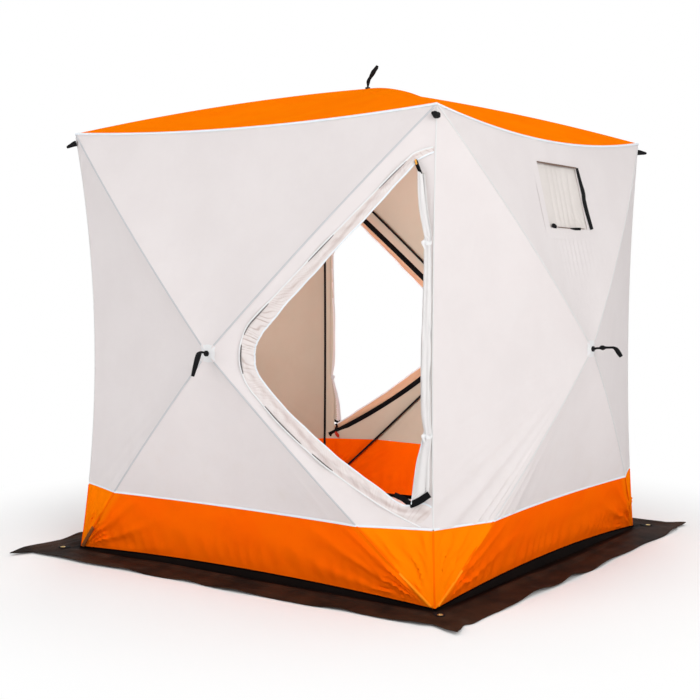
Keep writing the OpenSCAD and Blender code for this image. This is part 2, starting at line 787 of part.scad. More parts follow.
pull_straps();
top_corner_tabs();
corner_sockets();
peg_tabs();
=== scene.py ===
"""Looks of the pop-up ice fishing hut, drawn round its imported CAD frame.

Every cloth piece is a numpy surface on the same rays as the CAD panels: each panel is a fan of
straight rays from a hub to a curved edge, bowed with the rods beside the seams.
"""
import math

import bpy
import numpy as np
from mathutils import Matrix, Vector


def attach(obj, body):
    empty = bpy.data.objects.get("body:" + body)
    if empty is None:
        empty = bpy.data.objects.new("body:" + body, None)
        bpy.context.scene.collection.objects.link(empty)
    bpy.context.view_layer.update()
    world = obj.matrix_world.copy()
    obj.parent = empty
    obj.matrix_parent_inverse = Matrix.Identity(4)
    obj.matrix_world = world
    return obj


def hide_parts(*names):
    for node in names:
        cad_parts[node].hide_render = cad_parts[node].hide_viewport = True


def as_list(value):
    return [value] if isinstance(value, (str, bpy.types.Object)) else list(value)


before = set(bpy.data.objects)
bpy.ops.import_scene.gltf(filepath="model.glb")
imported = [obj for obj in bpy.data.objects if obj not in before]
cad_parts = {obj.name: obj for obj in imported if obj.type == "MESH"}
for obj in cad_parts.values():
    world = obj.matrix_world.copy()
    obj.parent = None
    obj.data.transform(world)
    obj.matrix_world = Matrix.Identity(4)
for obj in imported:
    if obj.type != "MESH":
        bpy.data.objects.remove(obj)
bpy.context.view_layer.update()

# Sizes of the hut in metres, as the CAD has them; rows of four go by wall or by corner
HALF = 0.9
EAVE_H = 1.79
ROOF_RISE = 0.222
BULGES = (0.190, 0.190, 0.234, 0.190)
ROD_BOW = 0.022
CLOTH = 0.003
BAND_H = 0.286
CORNER_BOWS = (0.070, 0.050, 0.036, 0.050)
EAVE_SAG = (0.032, 0.062, 0.032, 0.062)
SKIRT_W = 0.190
BOLT_HOLE = 0.009
HUB_Z = EAVE_H / 2
ROOF_HUB = np.array([0.0, 0.0, EAVE_H + ROOF_RISE])
DOOR_TOP_Z = EAVE_H - 0.135
DOOR_BOTTOM_Z = BAND_H + 0.020
DOOR_APEX_X = 0.070
DOOR_APEX_R = 0.175
DOOR_SAG = 0.044
HINGE_INSET = 0.028
ZIP_W = 0.024
WINDOW_W = 0.354
WINDOW_H = 0.258
WINDOW_Z = EAVE_H - 0.284
EYELET_FROM = 0.078

# Sizes in metres that follow the photo where the CAD is plainer
BASE_RISE = (0.026, 0.034, 0.026, 0.034)
SKIRT_TIPS = np.array([[0.060, -0.095], [0.030, -0.030], [0.0, 0.0], [0.0, 0.0]])
SKIRT_NOTCHES = (0.003, 0.016, 0.012, 0.012)
ROLL_FOOT_Z = DOOR_BOTTOM_Z + 0.084
ROLL_TOP_Z = DOOR_TOP_Z - 0.100
HUB_CLEAR = 0.0065

OUT = np.array([0.0, -1.0, 0.0])
UP = np.array([0.0, 0.0, 1.0])
SIDEWAYS = np.array([1.0, 0.0, 0.0])
DIAGONAL = np.array([-1.0, -1.0, 0.0]) / math.sqrt(2)
ALONG_CORNER = np.array([1.0, -1.0, 0.0]) / math.sqrt(2)
QUARTER_TURNS = ((1, 0), (0, 1), (-1, 0), (0, -1))
FRONT, RIGHT, BACK, LEFT = range(4)
WALL_NAMES = ("front", "right", "back", "left")
DOOR_WALLS = ((FRONT, "front"), (BACK, "back"))
WINDOW_WALLS = ((RIGHT, "right"), (LEFT, "left"))


# Forms of the hut


def hump(t):
    """Parabola that is 0 at both ends of 0..1 and 1 halfway."""
    return 4 * t * (1 - t)


def mix(a, b, t):
    return a + (b - a) * t


def unit(p):
    return p / np.maximum(np.linalg.norm(p, axis=-1, keepdims=True), 1e-12)


def stack(*parts):
    return np.stack(np.broadcast_arrays(*parts), axis=-1)


def on_wall(i, points):
    """Turns points from the frame of a wall that faces -Y to wall i, a quarter turn each."""
    c, s = QUARTER_TURNS[i]
    x, y, z = np.moveaxis(points, -1, 0)
    return stack(c * x - s * y, s * x + c * y, z)


def hub(i):
    return np.array([0.0, -(HALF + BULGES[i]), HUB_Z])


def corner_bow(i, side):
    return CORNER_BOWS[i if side < 0 else (i + 1) % 4]


def seam_x(bow, z):
    """Distance of a corner seam from the hut's middle plane: a parabola bowed inwards."""
    return HALF - bow / math.sqrt(2) * hump(z / EAVE_H)


def seam(i, side, t):
    x = seam_x(corner_bow(i, side), EAVE_H * t)
    return stack(side * x, -x, EAVE_H * t)


def eave(i, t):
    return stack(HALF * (2 * t - 1), -HALF, EAVE_H - EAVE_SAG[i] * hump(t))


def foot(i, t):
    return stack(HALF * (2 * t - 1), -HALF, BASE_RISE[i] * hump(t))


def seam_mitre(side, t):
    return stack(-side, 1.0, -t)


def eave_mitre(t):
    return stack(1 - 2 * t, 1.0, -1.0)


def foot_mitre(t):
    return stack(1 - 2 * t, 1.0, 0.0)


def band_share(edge):
    """Share of each ray from the hub at which it comes down to the band's top edge, at most 1."""
    low = edge[..., 2] < BAND_H
    return np.where(low, (HUB_Z - BAND_H) / np.maximum(HUB_Z - edge[..., 2], 1e-6), 1.0)


def fan(middle, out, edge, t, first, last, rows):
    """Rays from the hub to the points of an edge, each cut from share first to share last.

    A point is the straight mix of hub and edge, pushed out by the rods' bow, which fades to
    nothing halfway between two seams.
    """
    v = mix(first[:, None], last[:, None], np.linspace(0, 1, rows)[None, :])
    bow = ROD_BOW * hump(v) * ((1 - 2 * t) ** 2)[:, None]
    return mix(middle, edge[:, None, :], v[..., None]) + out * bow[..., None], v


def side_face(i, x, z):
    """Depth of the right-hand panel's outer face at (x, z), with its edge height t and share v.

    The ray through the point meets the corner seam where a t^2 - b t + c = 0.
    """
    bow = corner_bow(i, 1)
    slope = (z - HUB_Z) / x
    a = slope * 4 * bow / math.sqrt(2)
    b, c = EAVE_H + a, HUB_Z + slope * HALF
    t = 2 * c / (b + np.sqrt(b * b - 4 * a * c))
    edge_x = seam_x(bow, EAVE_H * t)
    v = x / edge_x
    return mix(hub(i)[1], -edge_x, v) - ROD_BOW * hump(v) * (1 - 2 * t) ** 2, t, v


def top_face(i, x, z):
    """Depth of the upper panel's outer face at (x, z): its rays meet the sagging roof edge."""
    slope = x / (z - HUB_Z)
    a = 4 * slope * EAVE_SAG[i]
    b, c = a + 2 * HALF, slope * (EAVE_H - HUB_Z) + HALF
    t = 2 * c / (b + np.sqrt(b * b - 4 * a * c))
    v = (z - HUB_Z) / (eave(i, t)[..., 2] - HUB_Z)
    return mix(hub(i)[1], -HALF, v) - ROD_BOW * hump(v) * (1 - 2 * t) ** 2


def waves(a, b, seed, count, low, high):
    """Sum of count plane waves over (a, b) with seeded headings and wave numbers, about -1 to 1."""
    rng = np.random.default_rng(seed)
    total = np.zeros(np.broadcast(a, b).shape)
    for heading, number, phase in zip(
        rng.uniform(0, math.pi, count), rng.uniform(low, high, count), rng.uniform(0, 6.28, count)
    ):
        total = total + np.sin(number * (a * math.cos(heading) + b * math.sin(heading)) + phase)
    return total / math.sqrt(count)


def ridge(s):
    """Sine turned into narrow ridges with broad hollows between them, as pulled cloth makes."""
    return 2 * (0.5 + 0.5 * np.sin(s)) ** 3 - 0.6


def bell(x, middle, width):
    return np.exp(-(((x - middle) / width) ** 2))


def run_length(line):
    """Length along a broken line at each of its points."""
    return np.concatenate([[0], np.cumsum(np.linalg.norm(np.diff(line, axis=0), axis=1))])


def round_angles(count):
    return np.linspace(0, 2 * math.pi, count + 1)[:-1]


def smooth_line(knots, count):
    """Smooth line through rows of numbers: a cubic between each two, with the neighbours' slopes."""
    knots = np.asarray(knots, dtype=float)
    ends = np.concatenate([2 * knots[:1] - knots[1:2], knots, 2 * knots[-1:] - knots[-2:-1]])
    u = np.linspace(0, len(knots) - 1, count)
    k = np.minimum(u.astype(int), len(knots) - 2)
    f = (u - k)[:, None]
    a, b, c, d = (ends[k + n] for n in range(4))
    square, cube = 2 * a - 5 * b + 4 * c - d, 3 * b - a - 3 * c + d
    return 0.5 * (2 * b + (c - a) * f + square * f ** 2 + cube * f ** 3)


def door_edge(i, count=420):
    """Zip line of a doorway in wall i as points and ways into the doorway, both (x, z).

    A straight line down from the top end, a round turn by the hub, and a parabola that sags to
    the bottom end; the way in is the tangent turned a quarter to the left.
    """
    bow = corner_bow(i, 1)
    apex = np.array([DOOR_APEX_X, HUB_Z])
    top = np.array([seam_x(bow, DOOR_TOP_Z) - HINGE_INSET, DOOR_TOP_Z])
    bottom = np.array([seam_x(bow, DOOR_BOTTOM_Z) - HINGE_INSET, DOOR_BOTTOM_Z])
    pull = (apex + bottom) / 2 - np.array([0, 2 * DOOR_SAG])
    up, down = unit(top - apex), unit(pull - apex)
    up_turn, down_turn = math.atan2(up[1], up[0]), math.atan2(down[1], down[0])
    half = (up_turn - down_turn) / 2
    middle = (up_turn + down_turn) / 2
    centre = apex + DOOR_APEX_R / math.sin(half) * np.array([math.cos(middle), math.sin(middle)])
    reach = DOOR_APEX_R / math.tan(half)
    k = np.linspace(0, 1, count // 3)[:, None]
    a = mix(math.pi / 2 + up_turn, 1.5 * math.pi + down_turn, k[1:-1])
    low = mix(mix(apex + down * reach, pull, k), mix(pull, bottom, k), k)
    line = np.concatenate([
        mix(top, apex + up * reach, k),
        centre + DOOR_APEX_R * np.concatenate([np.cos(a), np.sin(a)], axis=1),
        low,
    ])
    length = run_length(line)
    even = np.linspace(0, length[-1], count)
    points = np.stack([np.interp(even, length, line[:, k]) for k in (0, 1)], axis=1)
    along = unit(np.gradient(points, axis=0))
    way = unit(np.stack([-along[:, 1], along[:, 0]], axis=1))
    return points, way, even


# Meshes


def make_object(name, points, faces, materials, face_material=None, uv=None, values=None, sharp=40):
    """Object at the origin from points and faces given as arrays, smooth apart from sharp edges."""
    mesh = bpy.data.meshes.new(name)
    mesh.from_pydata(np.asarray(points).tolist(), [], np.asarray(faces).tolist())
    for material in materials:
        mesh.materials.append(material)
    if face_material is not None:
        mesh.polygons.foreach_set("material_index", np.asarray(face_material, dtype=np.int32))
    if uv is not None:
        corner = np.empty(len(mesh.loops), dtype=np.int32)
        mesh.loops.foreach_get("vertex_index", corner)
        layer = mesh.uv_layers.new(name="cloth")
        layer.data.foreach_set("uv", np.asarray(uv, dtype=np.float32)[corner].ravel())
    for key, value in (values or {}).items():
        attribute = mesh.attributes.new(key, "FLOAT", "POINT")
        attribute.data.foreach_set("value", np.asarray(value, dtype=np.float32).ravel())
    mesh.polygons.foreach_set("use_smooth", np.ones(len(mesh.polygons), dtype=bool))
    mesh.set_sharp_from_angle(angle=math.radians(sharp))
    mesh.validate()
    mesh.update()
    thing = bpy.data.objects.new(name, mesh)
    bpy.context.scene.collection.objects.link(thing)
    return thing


def grid_faces(rows, cols, ring_rows=False, ring_cols=False):
    """Quads of a grid whose point (i, j) has the number i * cols + j, closed where it is a ring."""
    i = np.arange(rows if ring_rows else rows - 1)[:, None]
    j = np.arange(cols if ring_cols else cols - 1)[None, :]
    i2, j2 = (i + 1) % rows, (j + 1) % cols
    return stack(i * cols + j, i * cols + j2, i2 * cols + j2, i2 * cols + j).reshape(-1, 4)


def facing_out(points, faces):
    """Faces of a closed solid, all turned over where its signed volume is below zero."""
    a, b, c, d = (points[faces[:, k]] for k in range(4))
    volume = np.sum(np.cross(b, c) * a + np.cross(c, d) * a)
    return faces[:, ::-1] if volume < 0 else faces


def slab(outer, inner, ring=False):
    """Closed cloth between two equal grids: both faces and the rims that join their edges.

    Returns points, quads that face outwards, and 0 for outer faces and rims, 1 for inner faces.
    """
    rows, cols = outer.shape[:2]
    n = rows * cols
    points = np.concatenate([outer.reshape(-1, 3), inner.reshape(-1, 3)])
    front = grid_faces(rows, cols, ring)
    i, j = np.arange(rows if ring else rows - 1), np.arange(cols - 1)
    edges = [(i * cols + k, (i + 1) % rows * cols + k, turn) for k, turn in ((0, 1), (cols - 1, -1))]
    if not ring:
        edges += [(k * cols + j, k * cols + j + 1, turn) for k, turn in ((0, -1), (rows - 1, 1))]
    rim = np.concatenate([np.stack([a, b, b + n, a + n], axis=1)[:, ::turn] for a, b, turn in edges])
    faces = np.concatenate([front, front[:, ::-1] + n, rim])
    kind = np.concatenate([np.zeros(len(front)), np.ones(len(front)), np.zeros(len(rim))])
    return points, facing_out(points, faces), kind.astype(int)


def cloth_area(outer):
    """Area of a grid of points, from the cross products of its quads' diagonals."""
    d1 = outer[1:, 1:] - outer[:-1, :-1]
    d2 = outer[1:, :-1] - outer[:-1, 1:]
    return float(np.linalg.norm(np.cross(d1, d2), axis=-1).sum() / 2)


def cloth_piece(name, outer, inner, uv, materials, slot, nodes, flat, held, rests_on, ring=False,
                values=None, sharp=40):
    """A sewn cloth piece of the hut: its slab, its weave's map and what it stands for."""
    points, faces, kind = slab(outer, inner, ring)
    both = np.concatenate([uv.reshape(-1, 2)] * 2)
    values = {key: np.concatenate([np.ravel(v)] * 2) for key, v in (values or {}).items()}
    thing = make_object(name, points, faces, materials, kind, both, values, sharp)
    finish_piece(thing, slot, nodes)
    min(max(cloth_area(outer), 0.31 * flat[0] * flat[1]), flat[0] * flat[1])
    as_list(rests_on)
    return thing


def wall_cloth(i, name, grids, materials, slot, node, flat, held, rests_on, **options):
    """Cloth piece that stands for a CAD node, from its outer grid, inner grid and map on wall i."""
    outer, inner, uv = grids
    return cloth_piece(name, on_wall(i, outer), on_wall(i, inner), uv, materials, slot, [node], flat, held,
                       rests_on, **options)


def finish_piece(thing, slot, nodes=()):
    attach(thing, "root")
    if nodes:
        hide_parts(*nodes)
    return thing


def trim(name, solid, material, slot, nodes=(), uv=None):
    """Small piece of one material, from its points and faces."""
    return finish_piece(make_object(name, *solid, [material], None, uv), slot, nodes)


def wall_patch(i, name, grids, material):
    """Closed ring of cloth sewn on wall i, from its outer grid, inner grid and map."""
    outer, inner, uv = grids
    solid = slab(on_wall(i, outer), on_wall(i, inner), ring=True)[:2]
    trim(name, solid, material, "white_fabric", uv=np.concatenate([uv.reshape(-1, 2)] * 2))


def sweep(path, out, profile):
    """Profile of (across, out) points carried along a path: out is made square to the path, and
    across is the cross product of the two. Returns a grid of rings."""
    out = np.broadcast_to(out, path.shape)
    along = unit(np.gradient(path, axis=0))
    out = unit(out - along * np.sum(out * along, axis=-1, keepdims=True))
    across = np.cross(along, out)
    profile = np.broadcast_to(profile, (len(path),) + np.shape(profile)[-2:])
    return path[:, None, :] + profile[..., :1] * across[:, None, :] + profile[..., 1:] * out[:, None, :]


def tube(rings):
    """Points and quads of a row of rings, with a cap at each end made of a strip of quads."""
    rows, cols = rings.shape[:2]
    points = rings.reshape(-1, 3)
    faces = grid_faces(rows, cols, ring_cols=True)
    k = np.arange(cols // 2 - 1)
    cap = np.stack([k, k + 1, cols - 2 - k, cols - 1 - k], axis=1)
    faces = np.concatenate([faces, cap[:, ::-1], cap + (rows - 1) * cols])
    return points, facing_out(points, faces)


def join(*solids):
    """One set of points and faces from several."""
    starts = np.cumsum([0] + [len(points) for points, _ in solids])
    return (np.concatenate([points for points, _ in solids]),
            np.concatenate([faces + start for (_, faces), start in zip(solids, starts)]))


def oval(width, height, count=8, power=2.0):
    """Ring of (across, out) points on a superellipse, or a row of rings for rows of sizes."""
    a = (np.arange(count) + 0.5) * 2 * math.pi / count
    c, s = np.cos(a), np.sin(a)
    x = np.sign(c) * np.abs(c) ** (2 / power) * np.asarray(width)[..., None] / 2
    y = np.sign(s) * np.abs(s) ** (2 / power) * np.asarray(height)[..., None] / 2
    return stack(x, y)


def wall_tube(i, path, profile, out=OUT):
    """Solid with a given profile along a path on wall i."""
    return tube(on_wall(i, sweep(path, out, profile)))


def wall_strip(i, path, width, height, out=OUT):
    return wall_tube(i, path, oval(width, height), out)


# Materials


def node_tree(owner):
    tree = owner.node_tree
    tree.nodes.clear()
    return tree


def shared_group(name, inputs, outputs, build):
    """Shader node group with named sockets; build gets the tree, the inputs and the outputs."""
    tree = bpy.data.node_groups.new(name, "ShaderNodeTree")
    for label, kind, default in inputs:
        socket = tree.interface.new_socket(label, in_out="INPUT", socket_type=kind)
        if default is not None:
            socket.default_value = default
    for label, kind in outputs:
        tree.interface.new_socket(label, in_out="OUTPUT", socket_type=kind)
    build(tree, tree.nodes.new("NodeGroupInput"), tree.nodes.new("NodeGroupOutput"))
    return tree


def feed(tree, socket, value):
    """Links a socket to another one, or sets it to a number, vector or color."""
    if isinstance(value, bpy.types.NodeSocket):
        tree.links.new(value, socket)
    else:
        socket.default_value = value


def add_node(tree, kind, **inputs):
    """New shader node with its inputs fed by name, where an underscore stands for a space."""
    node = tree.nodes.new("ShaderNode" + kind)
    for key, value in inputs.items():
        feed(tree, node.inputs[key.replace("_", " ")], value)
    return node


def math_node(tree, operation, *values, clamp=False):
    node = tree.nodes.new("ShaderNodeMath")
    node.operation = operation
    node.use_clamp = clamp
    for socket, value in zip(node.inputs, values):
        feed(tree, socket, value)
    return node.outputs[0]


def times(tree, a, b, clamp=False):
    return math_node(tree, "MULTIPLY", a, b, clamp=clamp)


def mix_color(tree, share, a, b):
    """Color a turned into color b by a share, each a triple or a socket."""
    node = tree.nodes.new("ShaderNodeMix")
    node.data_type = "RGBA"
    sockets = {s.identifier: s for s in node.inputs}
    for key, value in (("Factor_Float", share), ("A_Color", a), ("B_Color", b)):
        feed(tree, sockets[key], value + (1.0,) if isinstance(value, tuple) else value)
    return next(s for s in node.outputs if s.identifier == "Result_Color")


def noise(tree, vector, scale, detail=3.0, roughness=0.55, stretch=None):
    if stretch is not None:
        vector = add_node(tree, "Mapping", Vector=vector, Scale=stretch).outputs[0]
    node = add_node(tree, "TexNoise", Vector=vector, Scale=scale, Detail=detail, Roughness=roughness)
    return node.outputs["Fac"]


def ramp(tree, value, low, high):
    """Smooth step from 0 at low to 1 at high."""
    node = add_node(tree, "MapRange", Value=value, From_Min=low, From_Max=high)
    node.interpolation_type = "SMOOTHSTEP"
    return node.outputs[0]


def build_weave(tree, given, result):
    """Warp and weft: two square-set rows of sine threads that take turns on top, with uneven yarn."""
    split = add_node(tree, "SeparateXYZ", Vector=given.outputs["Map"])
    warp, weft = (math_node(tree, "SINE", times(tree, split.outputs[axis], given.outputs["Threads"]))
                  for axis in ("X", "Y"))
    yarn = noise(tree, given.outputs["Map"], 700.0, 1.0)
    height = math_node(tree, "ADD", times(tree, times(tree, warp, weft), 0.5), yarn)
    feed(tree, result.inputs["Height"], height)
    feed(tree, result.inputs["Shade"], ramp(tree, height, 0.0, 1.0))


def build_slack(tree, given, result):
    """Soft broad creases of handled cloth, and the faint uneven tone that goes with them."""
    broad = noise(tree, given.outputs["Place"], 5.0, 4.0, 0.6)
    fine = noise(tree, given.outputs["Place"], 34.0, 3.0, 0.6, (1.0, 1.0, 0.35))
    feed(tree, result.inputs["Height"], math_node(tree, "ADD", broad, times(tree, fine, 0.25)))
    feed(tree, result.inputs["Tone"], ramp(tree, broad, 0.3, 0.7))


def build_soil(tree, given, result):
    """Dust and damp marks: patchy, and stronger towards the ice."""
    split = add_node(tree, "SeparateXYZ", Vector=given.outputs["Place"])
    low = math_node(tree, "SUBTRACT", 1.0, ramp(tree, split.outputs["Z"], 0.05, 0.75))
    patches = ramp(tree, noise(tree, given.outputs["Place"], 7.0, 5.0, 0.65), 0.5, 0.78)
    feed(tree, result.inputs["Mask"], times(tree, low, patches, clamp=True))


PLACE = ("Place", "NodeSocketVector", None)
WEAVE = shared_group("cloth_weave",
                     [("Map", "NodeSocketVector", None), ("Threads", "NodeSocketFloat", 3900.0)],
                     [("Height", "NodeSocketFloat"), ("Shade", "NodeSocketFloat")], build_weave)
SLACK = shared_group("slack_creases", [PLACE],
                     [("Height", "NodeSocketFloat"), ("Tone", "NodeSocketFloat")], build_slack)
SOIL = shared_group("soil_marks", [PLACE], [("Mask", "NodeSocketFloat")], build_soil)


def place_group(tree, group, **inputs):
    """Outputs of a shared group placed in a material, with its inputs fed by name."""
    node = tree.nodes.new("ShaderNodeGroup")
    node.node_tree = group
    for key, value in inputs.items():
        feed(tree, node.inputs[key], value)
    return node.outputs


def start_material(name, roughness, specular):
    """Material with a Principled shader, and its tree, shader and texture coordinates."""
    material = bpy.data.materials.new(name)
    material.use_nodes = True
    tree = node_tree(material)
    shader = add_node(tree, "BsdfPrincipled", Roughness=roughness, Specular_IOR_Level=specular)
    add_node(tree, "OutputMaterial", Surface=shader.outputs[0])
    return material, tree, shader, tree.nodes.new("ShaderNodeTexCoord").outputs


def set_bump(tree, shader, height, distance):
    bump = add_node(tree, "Bump", Height=height, Distance=distance, Strength=1.0)
    feed(tree, shader.inputs["Normal"], bump.outputs[0])


def cloth_material(name, color, dark, soil_color, soil, roughness=0.72, specular=0.12, crease=0.004,
                   mark=None):
    """Coated cloth: woven bump on its own map, broad soft creases, uneven tone and a little soil.

    mark is a point value's name, the color that it brings in and the share of it.
    """
    material, tree, shader, place = start_material(name, roughness, specular)
    weave = place_group(tree, WEAVE, Map=place["UV"])
    slack = place_group(tree, SLACK, Place=place["Object"])
    marks = place_group(tree, SOIL, Place=place["Object"])
    tone = mix_color(tree, times(tree, slack["Tone"], 0.6), color, dark)
    tone = mix_color(tree, times(tree, weave["Shade"], 0.12), tone, dark)
    tone = mix_color(tree, times(tree, marks["Mask"], soil), tone, soil_color)
    if mark is not None:
        key, mark_color, share = mark
        value = tree.nodes.new("ShaderNodeAttribute")
        value.attribute_name = key
        tone = mix_color(tree, times(tree, value.outputs["Fac"], share, clamp=True), tone, mark_color)
    feed(tree, shader.inputs["Base Color"], tone)
    rough = math_node(tree, "ADD", times(tree, weave["Shade"], 0.12), roughness - 0.06)
    feed(tree, shader.inputs["Roughness"], rough)
    height = math_node(tree, "ADD", times(tree, weave["Height"], 0.0003 / crease), slack["Height"])
    set_bump(tree, shader, height, crease)
    return material


def tape_material(name, color, light, roughness=0.6, ribs=1400.0, specular=0.2):
    """Woven tape and webbing: fine ribs across the map and a dusty lighter tone in patches."""
    material, tree, shader, place = start_material(name, roughness, specular)
    weave = place_group(tree, WEAVE, Map=place["UV"], Threads=ribs)
    slack = place_group(tree, SLACK, Place=place["Object"])
    tone = mix_color(tree, times(tree, slack["Tone"], 0.5), color, light)
    tone = mix_color(tree, times(tree, weave["Shade"], 0.25), tone, light)
    feed(tree, shader.inputs["Base Color"], tone)
    set_bump(tree, shader, weave["Height"], 0.0006)
    return material


def hard_material(name, color, light, roughness, metallic=0.0, grain=260.0, specular=0.3):
    """Moulded plastic, glass-fibre rod or metal: fine grain, uneven gloss and handled patches."""
    material, tree, shader, place = start_material(name, roughness, specular)
    fine = noise(tree, place["Object"], grain, 2.0)
    patches = noise(tree, place["Object"], 18.0, 4.0)
    feed(tree, shader.inputs["Base Color"], mix_color(tree, ramp(tree, patches, 0.45, 0.75), color, light))
    gloss = math_node(tree, "ADD", times(tree, patches, 0.25), roughness - 0.12)
    feed(tree, shader.inputs["Roughness"], gloss)
    shader.inputs["Metallic"].default_value = metallic
    set_bump(tree, shader, fine, 0.0003)
    return material


white_cloth = cloth_material("white_cloth", (0.725, 0.680, 0.680), (0.690, 0.642, 0.642),
                             (0.62, 0.54, 0.44), 0.3)
# Tan on the inner faces of the white cloth: painted warm shade of the hut's inside, lit through the orange
# roof
tan_lining = cloth_material("tan_lining", (0.520, 0.480, 0.395), (0.485, 0.440, 0.355),
                            (0.42, 0.35, 0.27), 0.3)
roof_cloth = cloth_material("roof_cloth", (0.995, 0.215, 0.001), (0.985, 0.175, 0.001),
                            (0.80, 0.12, 0.002), 0.25, specular=0.0)
band_cloth = cloth_material("band_cloth", (0.995, 0.140, 0.001), (0.985, 0.110, 0.001),
                            (0.80, 0.09, 0.002), 0.25, specular=0.0,
                            mark=("corner", (0.995, 0.205, 0.001), 1.0))
orange_lining = cloth_material("orange_lining", (0.900, 0.120, 0.001), (0.820, 0.095, 0.001),
                               (0.5, 0.07, 0.005), 0.3, specular=0.0)
# Near-black next to the wall on the skirt: painted shade under the band's foot
skirt_cloth = cloth_material("skirt_cloth", (0.011, 0.008, 0.007), (0.066, 0.028, 0.015),
                             (0.09, 0.06, 0.045), 0.3, roughness=0.6, specular=0.015, crease=0.006,
                             mark=("wall", (0.004, 0.003, 0.003), 0.9))
# Darker pinkish grey deep in the flap's folds: painted shade in the gathers
flap_cloth = cloth_material("flap_cloth", (0.735, 0.685, 0.675), (0.690, 0.625, 0.610),
                            (0.60, 0.50, 0.42), 0.2, mark=("fold", (0.36, 0.23, 0.20), 0.9))
flap_lining = cloth_material("flap_lining", (0.680, 0.440, 0.290), (0.630, 0.390, 0.250),
                             (0.48, 0.33, 0.22), 0.2)
blind_cloth = cloth_material("blind_cloth", (0.690, 0.645, 0.620), (0.655, 0.605, 0.580),
                             (0.58, 0.50, 0.42), 0.2)
# Grey deep in the roll's folds: painted shade in its creases
bundle_cloth = cloth_material("bundle_cloth", (0.715, 0.700, 0.700), (0.670, 0.655, 0.655),
                              (0.56, 0.51, 0.47), 0.2, mark=("fold", (0.45, 0.43, 0.43), 0.5))
piping_tape = tape_material("piping_tape", (0.700, 0.745, 0.790), (0.770, 0.800, 0.835), 0.6)
# Two copies of the rod-seam tape: the darker one is painted shade for the front and back walls, the paler one
# painted light for the side walls and corners
seam_tape = tape_material("seam_tape", (0.490, 0.490, 0.510), (0.570, 0.570, 0.590), 0.65)
seam_pale = tape_material("seam_pale", (0.630, 0.620, 0.620), (0.690, 0.680, 0.680), 0.65)
# Near-black tape: painted shadow in the flap's gaping seam
slit_tape = tape_material("slit_tape", (0.130, 0.118, 0.118), (0.230, 0.212, 0.210), 0.7, specular=0.0)
# Brown tape: painted shadow under the window border's hems
brown_tape = tape_material("brown_tape", (0.170, 0.115, 0.095), (0.220, 0.160, 0.135), 0.7, specular=0.0)
patch_tape = tape_material("patch_tape", (0.710, 0.710, 0.720), (0.760, 0.760, 0.770), 0.6)
orange_tape = tape_material("orange_tape", (0.930, 0.120, 0.001), (0.980, 0.165, 0.001), 0.7, specular=0.0)
# Two copies of the rod pocket's tape: a lit light orange one, and a dark brown one that is painted shade for
# the front-left corner
light_orange_tape = tape_material("light_orange_tape", (0.990, 0.250, 0.006), (0.995, 0.320, 0.018), 0.7,
                                  specular=0.0)
pocket_tape = tape_material("pocket_tape", (0.200, 0.062, 0.018), (0.270, 0.095, 0.030), 0.7, specular=0.0)
black_webbing = tape_material("black_webbing", (0.006, 0.006, 0.007), (0.018, 0.018, 0.019), 0.7, 2600.0,
                              0.04)
zip_tape = tape_material("zip_tape", (0.004, 0.004, 0.005), (0.012, 0.012, 0.013), 0.7, 2600.0, 0.04)
rod_fibreglass = hard_material("rod_fibreglass", (0.007, 0.007, 0.008), (0.018, 0.018, 0.019), 0.5,
                               grain=420.0, specular=0.08)
black_plastic = hard_material("black_plastic", (0.009, 0.009, 0.010), (0.024, 0.024, 0.026), 0.5,
                              specular=0.12)
eyelet_brass = hard_material("eyelet_brass", (0.420, 0.300, 0.130), (0.260, 0.180, 0.085), 0.42, 1.0)
red_pull = hard_material("red_pull", (0.420, 0.030, 0.015), (0.520, 0.060, 0.030), 0.4)
orange_pull = hard_material("orange_pull", (0.720, 0.330, 0.040), (0.800, 0.400, 0.070), 0.4)


# Wall and roof cloth


def hole_share(middle, edge):
    return BOLT_HOLE / np.linalg.norm(edge - middle, axis=-1)


def panel_slack(i, part, t, v, x, z):
    """How far the cloth of a wall panel stands off its straight rays, in metres along the wall's out.

    Broad slack over the panel, held at its seams, and pulled ridges along the rays where the
    photo shows them: low on the window walls beside the corner, and faintly elsewhere.
    """
    held = np.sin(math.pi * np.clip(v, 0, 1)) * hump(np.clip(t, 0, 1))[:, None] ** 0.5
    slack = 0.0022 * waves(x, z, 10 * i + len(part), 5, 7.0, 16.0) * held
    reach = np.clip((v - 0.15) / 0.6, 0, 1) ** 1.5
    if i in (RIGHT, LEFT) and part == "left":
        size, folds = 0.0062 if i == RIGHT else 0.0022, 150 * t + 4 * np.sin(23 * t)
        where = bell(t, 0.13, 0.17)
    elif i in (RIGHT, LEFT) and part == "bottom":
        size, folds = 0.0052, 90 * t + 3 * np.sin(19 * t)
        where = bell(t, 0.06, 0.16)
    elif part in ("left", "right"):
        size, folds = 0.0016, 90 * t + 3 * np.sin(17 * t + i)
        where = bell(1 - t, 0.95, 0.25)
    elif part == "bottom":
        size, folds = 0.0014, 70 * t + 2 * np.sin(15 * t + i)
        where = bell(np.abs(2 * t - 1), 0.9, 0.25)
    else:
        return slack
    pulled = size * ridge(folds)[:, None] * where[:, None] * reach
    if part != "bottom":
        pulled = pulled * np.clip((1 - v) / 0.04, 0, 1) ** 0.5
    return slack + pulled


